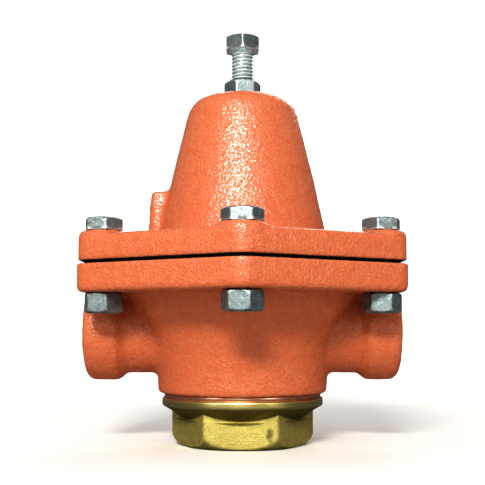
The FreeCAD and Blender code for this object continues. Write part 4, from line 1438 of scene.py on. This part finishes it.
class VALVE_OT_studio(bpy.types.Operator):
    """Lay the floor, hang the lamps and stand the camera"""
    bl_idname = "valve.studio"
    bl_label = "Studio"

    def lamp(self, name, place, aim, size, power, shine=True):
        data = bpy.data.lights.new(name, "AREA")
        data.shape = "RECTANGLE"
        data.size, data.size_y = size
        data.energy = power
        data.color = LAMP_COLOUR
        lamp = linked(name, data)
        lamp.location = place
        lamp.visible_glossy = shine
        direction = Vector(aim) - Vector(place)
        lamp.rotation_euler = direction.to_track_quat("-Z", "Y").to_euler()
        return lamp

    def execute(self, context):
        settings = context.scene.valve_studio
        scene = context.scene
        reach = 40.0
        floor = show("studio_floor", make_mesh("studio_floor", [
            (-reach, -reach, 0), (reach, -reach, 0), (reach, reach, 0), (-reach, reach, 0)],
            [(0, 1, 2, 3)]))
        material, shader, w, where = new_material("pale_floor", 0.85)
        # The floor is pale to the eye, throws little light back up, and fades into the white
        # surroundings further off.
        x, y, _ = w.parts(where)
        away = w.math("SQRT", w.math("ADD", w.math("POWER", x, 2.0), w.math("POWER", y, 2.0)))
        seen = w.node("ShaderNodeLightPath").outputs["Is Camera Ray"]
        far = ramp(w, away, 0.12, 0.75, 0.0, 1.0, "SMOOTHSTEP")
        tone = mix_colour(w, noise_node(w, where, 3.0, 2.0), (0.8, 0.8, 0.8), (0.84, 0.84, 0.84))
        mirrored = w.node("ShaderNodeLightPath").outputs["Is Glossy Ray"]
        thrown = mix_colour(w, mirrored, (0.6, 0.59, 0.58), (0.1, 0.1, 0.1))
        near = mix_colour(w, seen, thrown, tone)
        w.join(mix_colour(w, far, near, (0.0, 0.0, 0.0)), shader["Base Color"])
        shader["Specular IOR Level"].default_value = 0.0
        shader["Emission Strength"].default_value = 1.0
        glow = w.math("MULTIPLY", far, ramp(w, seen, 0, 1, 0.12, 1.0))
        w.join(mix_colour(w, glow, (0, 0, 0), (1, 1, 1)), shader["Emission Color"])
        floor.data.materials.append(material)
        world = bpy.data.worlds.new("studio_world")
        world.use_nodes = True
        scene.world = world
        w = Wires(world.node_tree)
        background = world.node_tree.nodes["Background"]
        path = w.node("ShaderNodeLightPath").outputs["Is Camera Ray"]
        height = w.parts(w.node("ShaderNodeTexCoord").outputs["Generated"])[2]
        up = ramp(w, height, -0.1, 0.9)
        w.join(mix_colour(w, path, mix_colour(w, up, (0.07, 0.07, 0.072), (0.36, 0.36, 0.37)),
                          (1.0, 1.0, 1.0)), background.inputs["Color"])
        background.inputs["Strength"].default_value = 1.0
        centre = (0, 0, 0.09)
        self.lamp("key", (-0.15, -0.95, 0.59), centre, (0.3, 0.14), 9.5)
        sheen = self.lamp("sheen", (-0.12, -0.95, 0.8), centre, (0.3, 0.2), 9.5)
        sheen.visible_diffuse = False
        self.lamp("front_fill", (-0.1, -1.4, 0.3), centre, (0.4, 0.3), 1.2)
        self.lamp("left_front_fill", (-0.75, -0.85, 0.34), centre, (0.2, 0.3), 1.6)
        self.lamp("right_front_fill", (0.75, -0.9, 0.3), centre, (0.2, 0.3), 1.7)
        self.lamp("left_fill", (-1.1, 0.2, 0.5), centre, (0.4, 0.7), 2.0, False)
        self.lamp("right_fill", (1.1, 0.3, 0.4), centre, (0.4, 0.7), 2.0, False)
        self.lamp("back", (0.2, 1.1, 0.8), centre, (0.7, 0.5), 5.0)
        data = bpy.data.cameras.new("studio_camera")
        data.lens = settings.lens
        data.sensor_width = 36.0
        data.shift_y = settings.rise
        data.clip_start = 0.01
        camera = linked("studio_camera", data)
        camera.location = (0, -settings.distance, settings.eye_height)
        camera.rotation_euler = (math.radians(90) + settings.tilt, 0, 0)
        scene.camera = camera
        scene.view_settings.view_transform = "Standard"
        scene.view_settings.look = "High Contrast"
        return {"FINISHED"}


OPERATORS = (VALVE_OT_finishes, VALVE_OT_castings, VALVE_OT_port_threads,
             VALVE_OT_bottom_plug, VALVE_OT_flange_fasteners, VALVE_OT_adjusting_screw,
             VALVE_OT_springs, VALVE_OT_diaphragm, VALVE_OT_studio)


class VALVE_PT_panel(bpy.types.Panel):
    """Sizes, colours and building steps of the valve"""
    bl_idname = "VALVE_PT_panel"
    bl_label = "Pressure Reducing Valve"
    bl_space_type = "VIEW_3D"
    bl_region_type = "UI"
    bl_category = "Valve"

    def draw(self, context):
        for group_name, group in SETTINGS.items():
            box = self.layout.box()
            settings = getattr(context.scene, group_name)
            for label in group.__annotations__:
                box.prop(settings, label)
        for operator in OPERATORS:
            self.layout.operator(operator.bl_idname)


def register():
    for group_name, group in SETTINGS.items():
        bpy.utils.register_class(group)
        setattr(bpy.types.Scene, group_name, PointerProperty(type=group))
    for operator in OPERATORS + (VALVE_PT_panel,):
        bpy.utils.register_class(operator)


def unregister():
    for operator in reversed(OPERATORS + (VALVE_PT_panel,)):
        bpy.utils.unregister_class(operator)
    for group_name, group in reversed(SETTINGS.items()):
        delattr(bpy.types.Scene, group_name)
        bpy.utils.unregister_class(group)


def corners(bounds):
    return [[float(value) for value in corner] for corner in bounds]


def main():
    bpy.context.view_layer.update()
    register()
    bpy.ops.valve.finishes()
    bpy.ops.valve.castings()
    bpy.ops.valve.port_threads()
    bpy.ops.valve.bottom_plug()
    bpy.ops.valve.flange_fasteners()
    bpy.ops.valve.adjusting_screw()
    bpy.ops.valve.springs()
    bpy.ops.valve.diaphragm()
    bpy.ops.valve.studio()


if __name__ == "__main__":
    main()
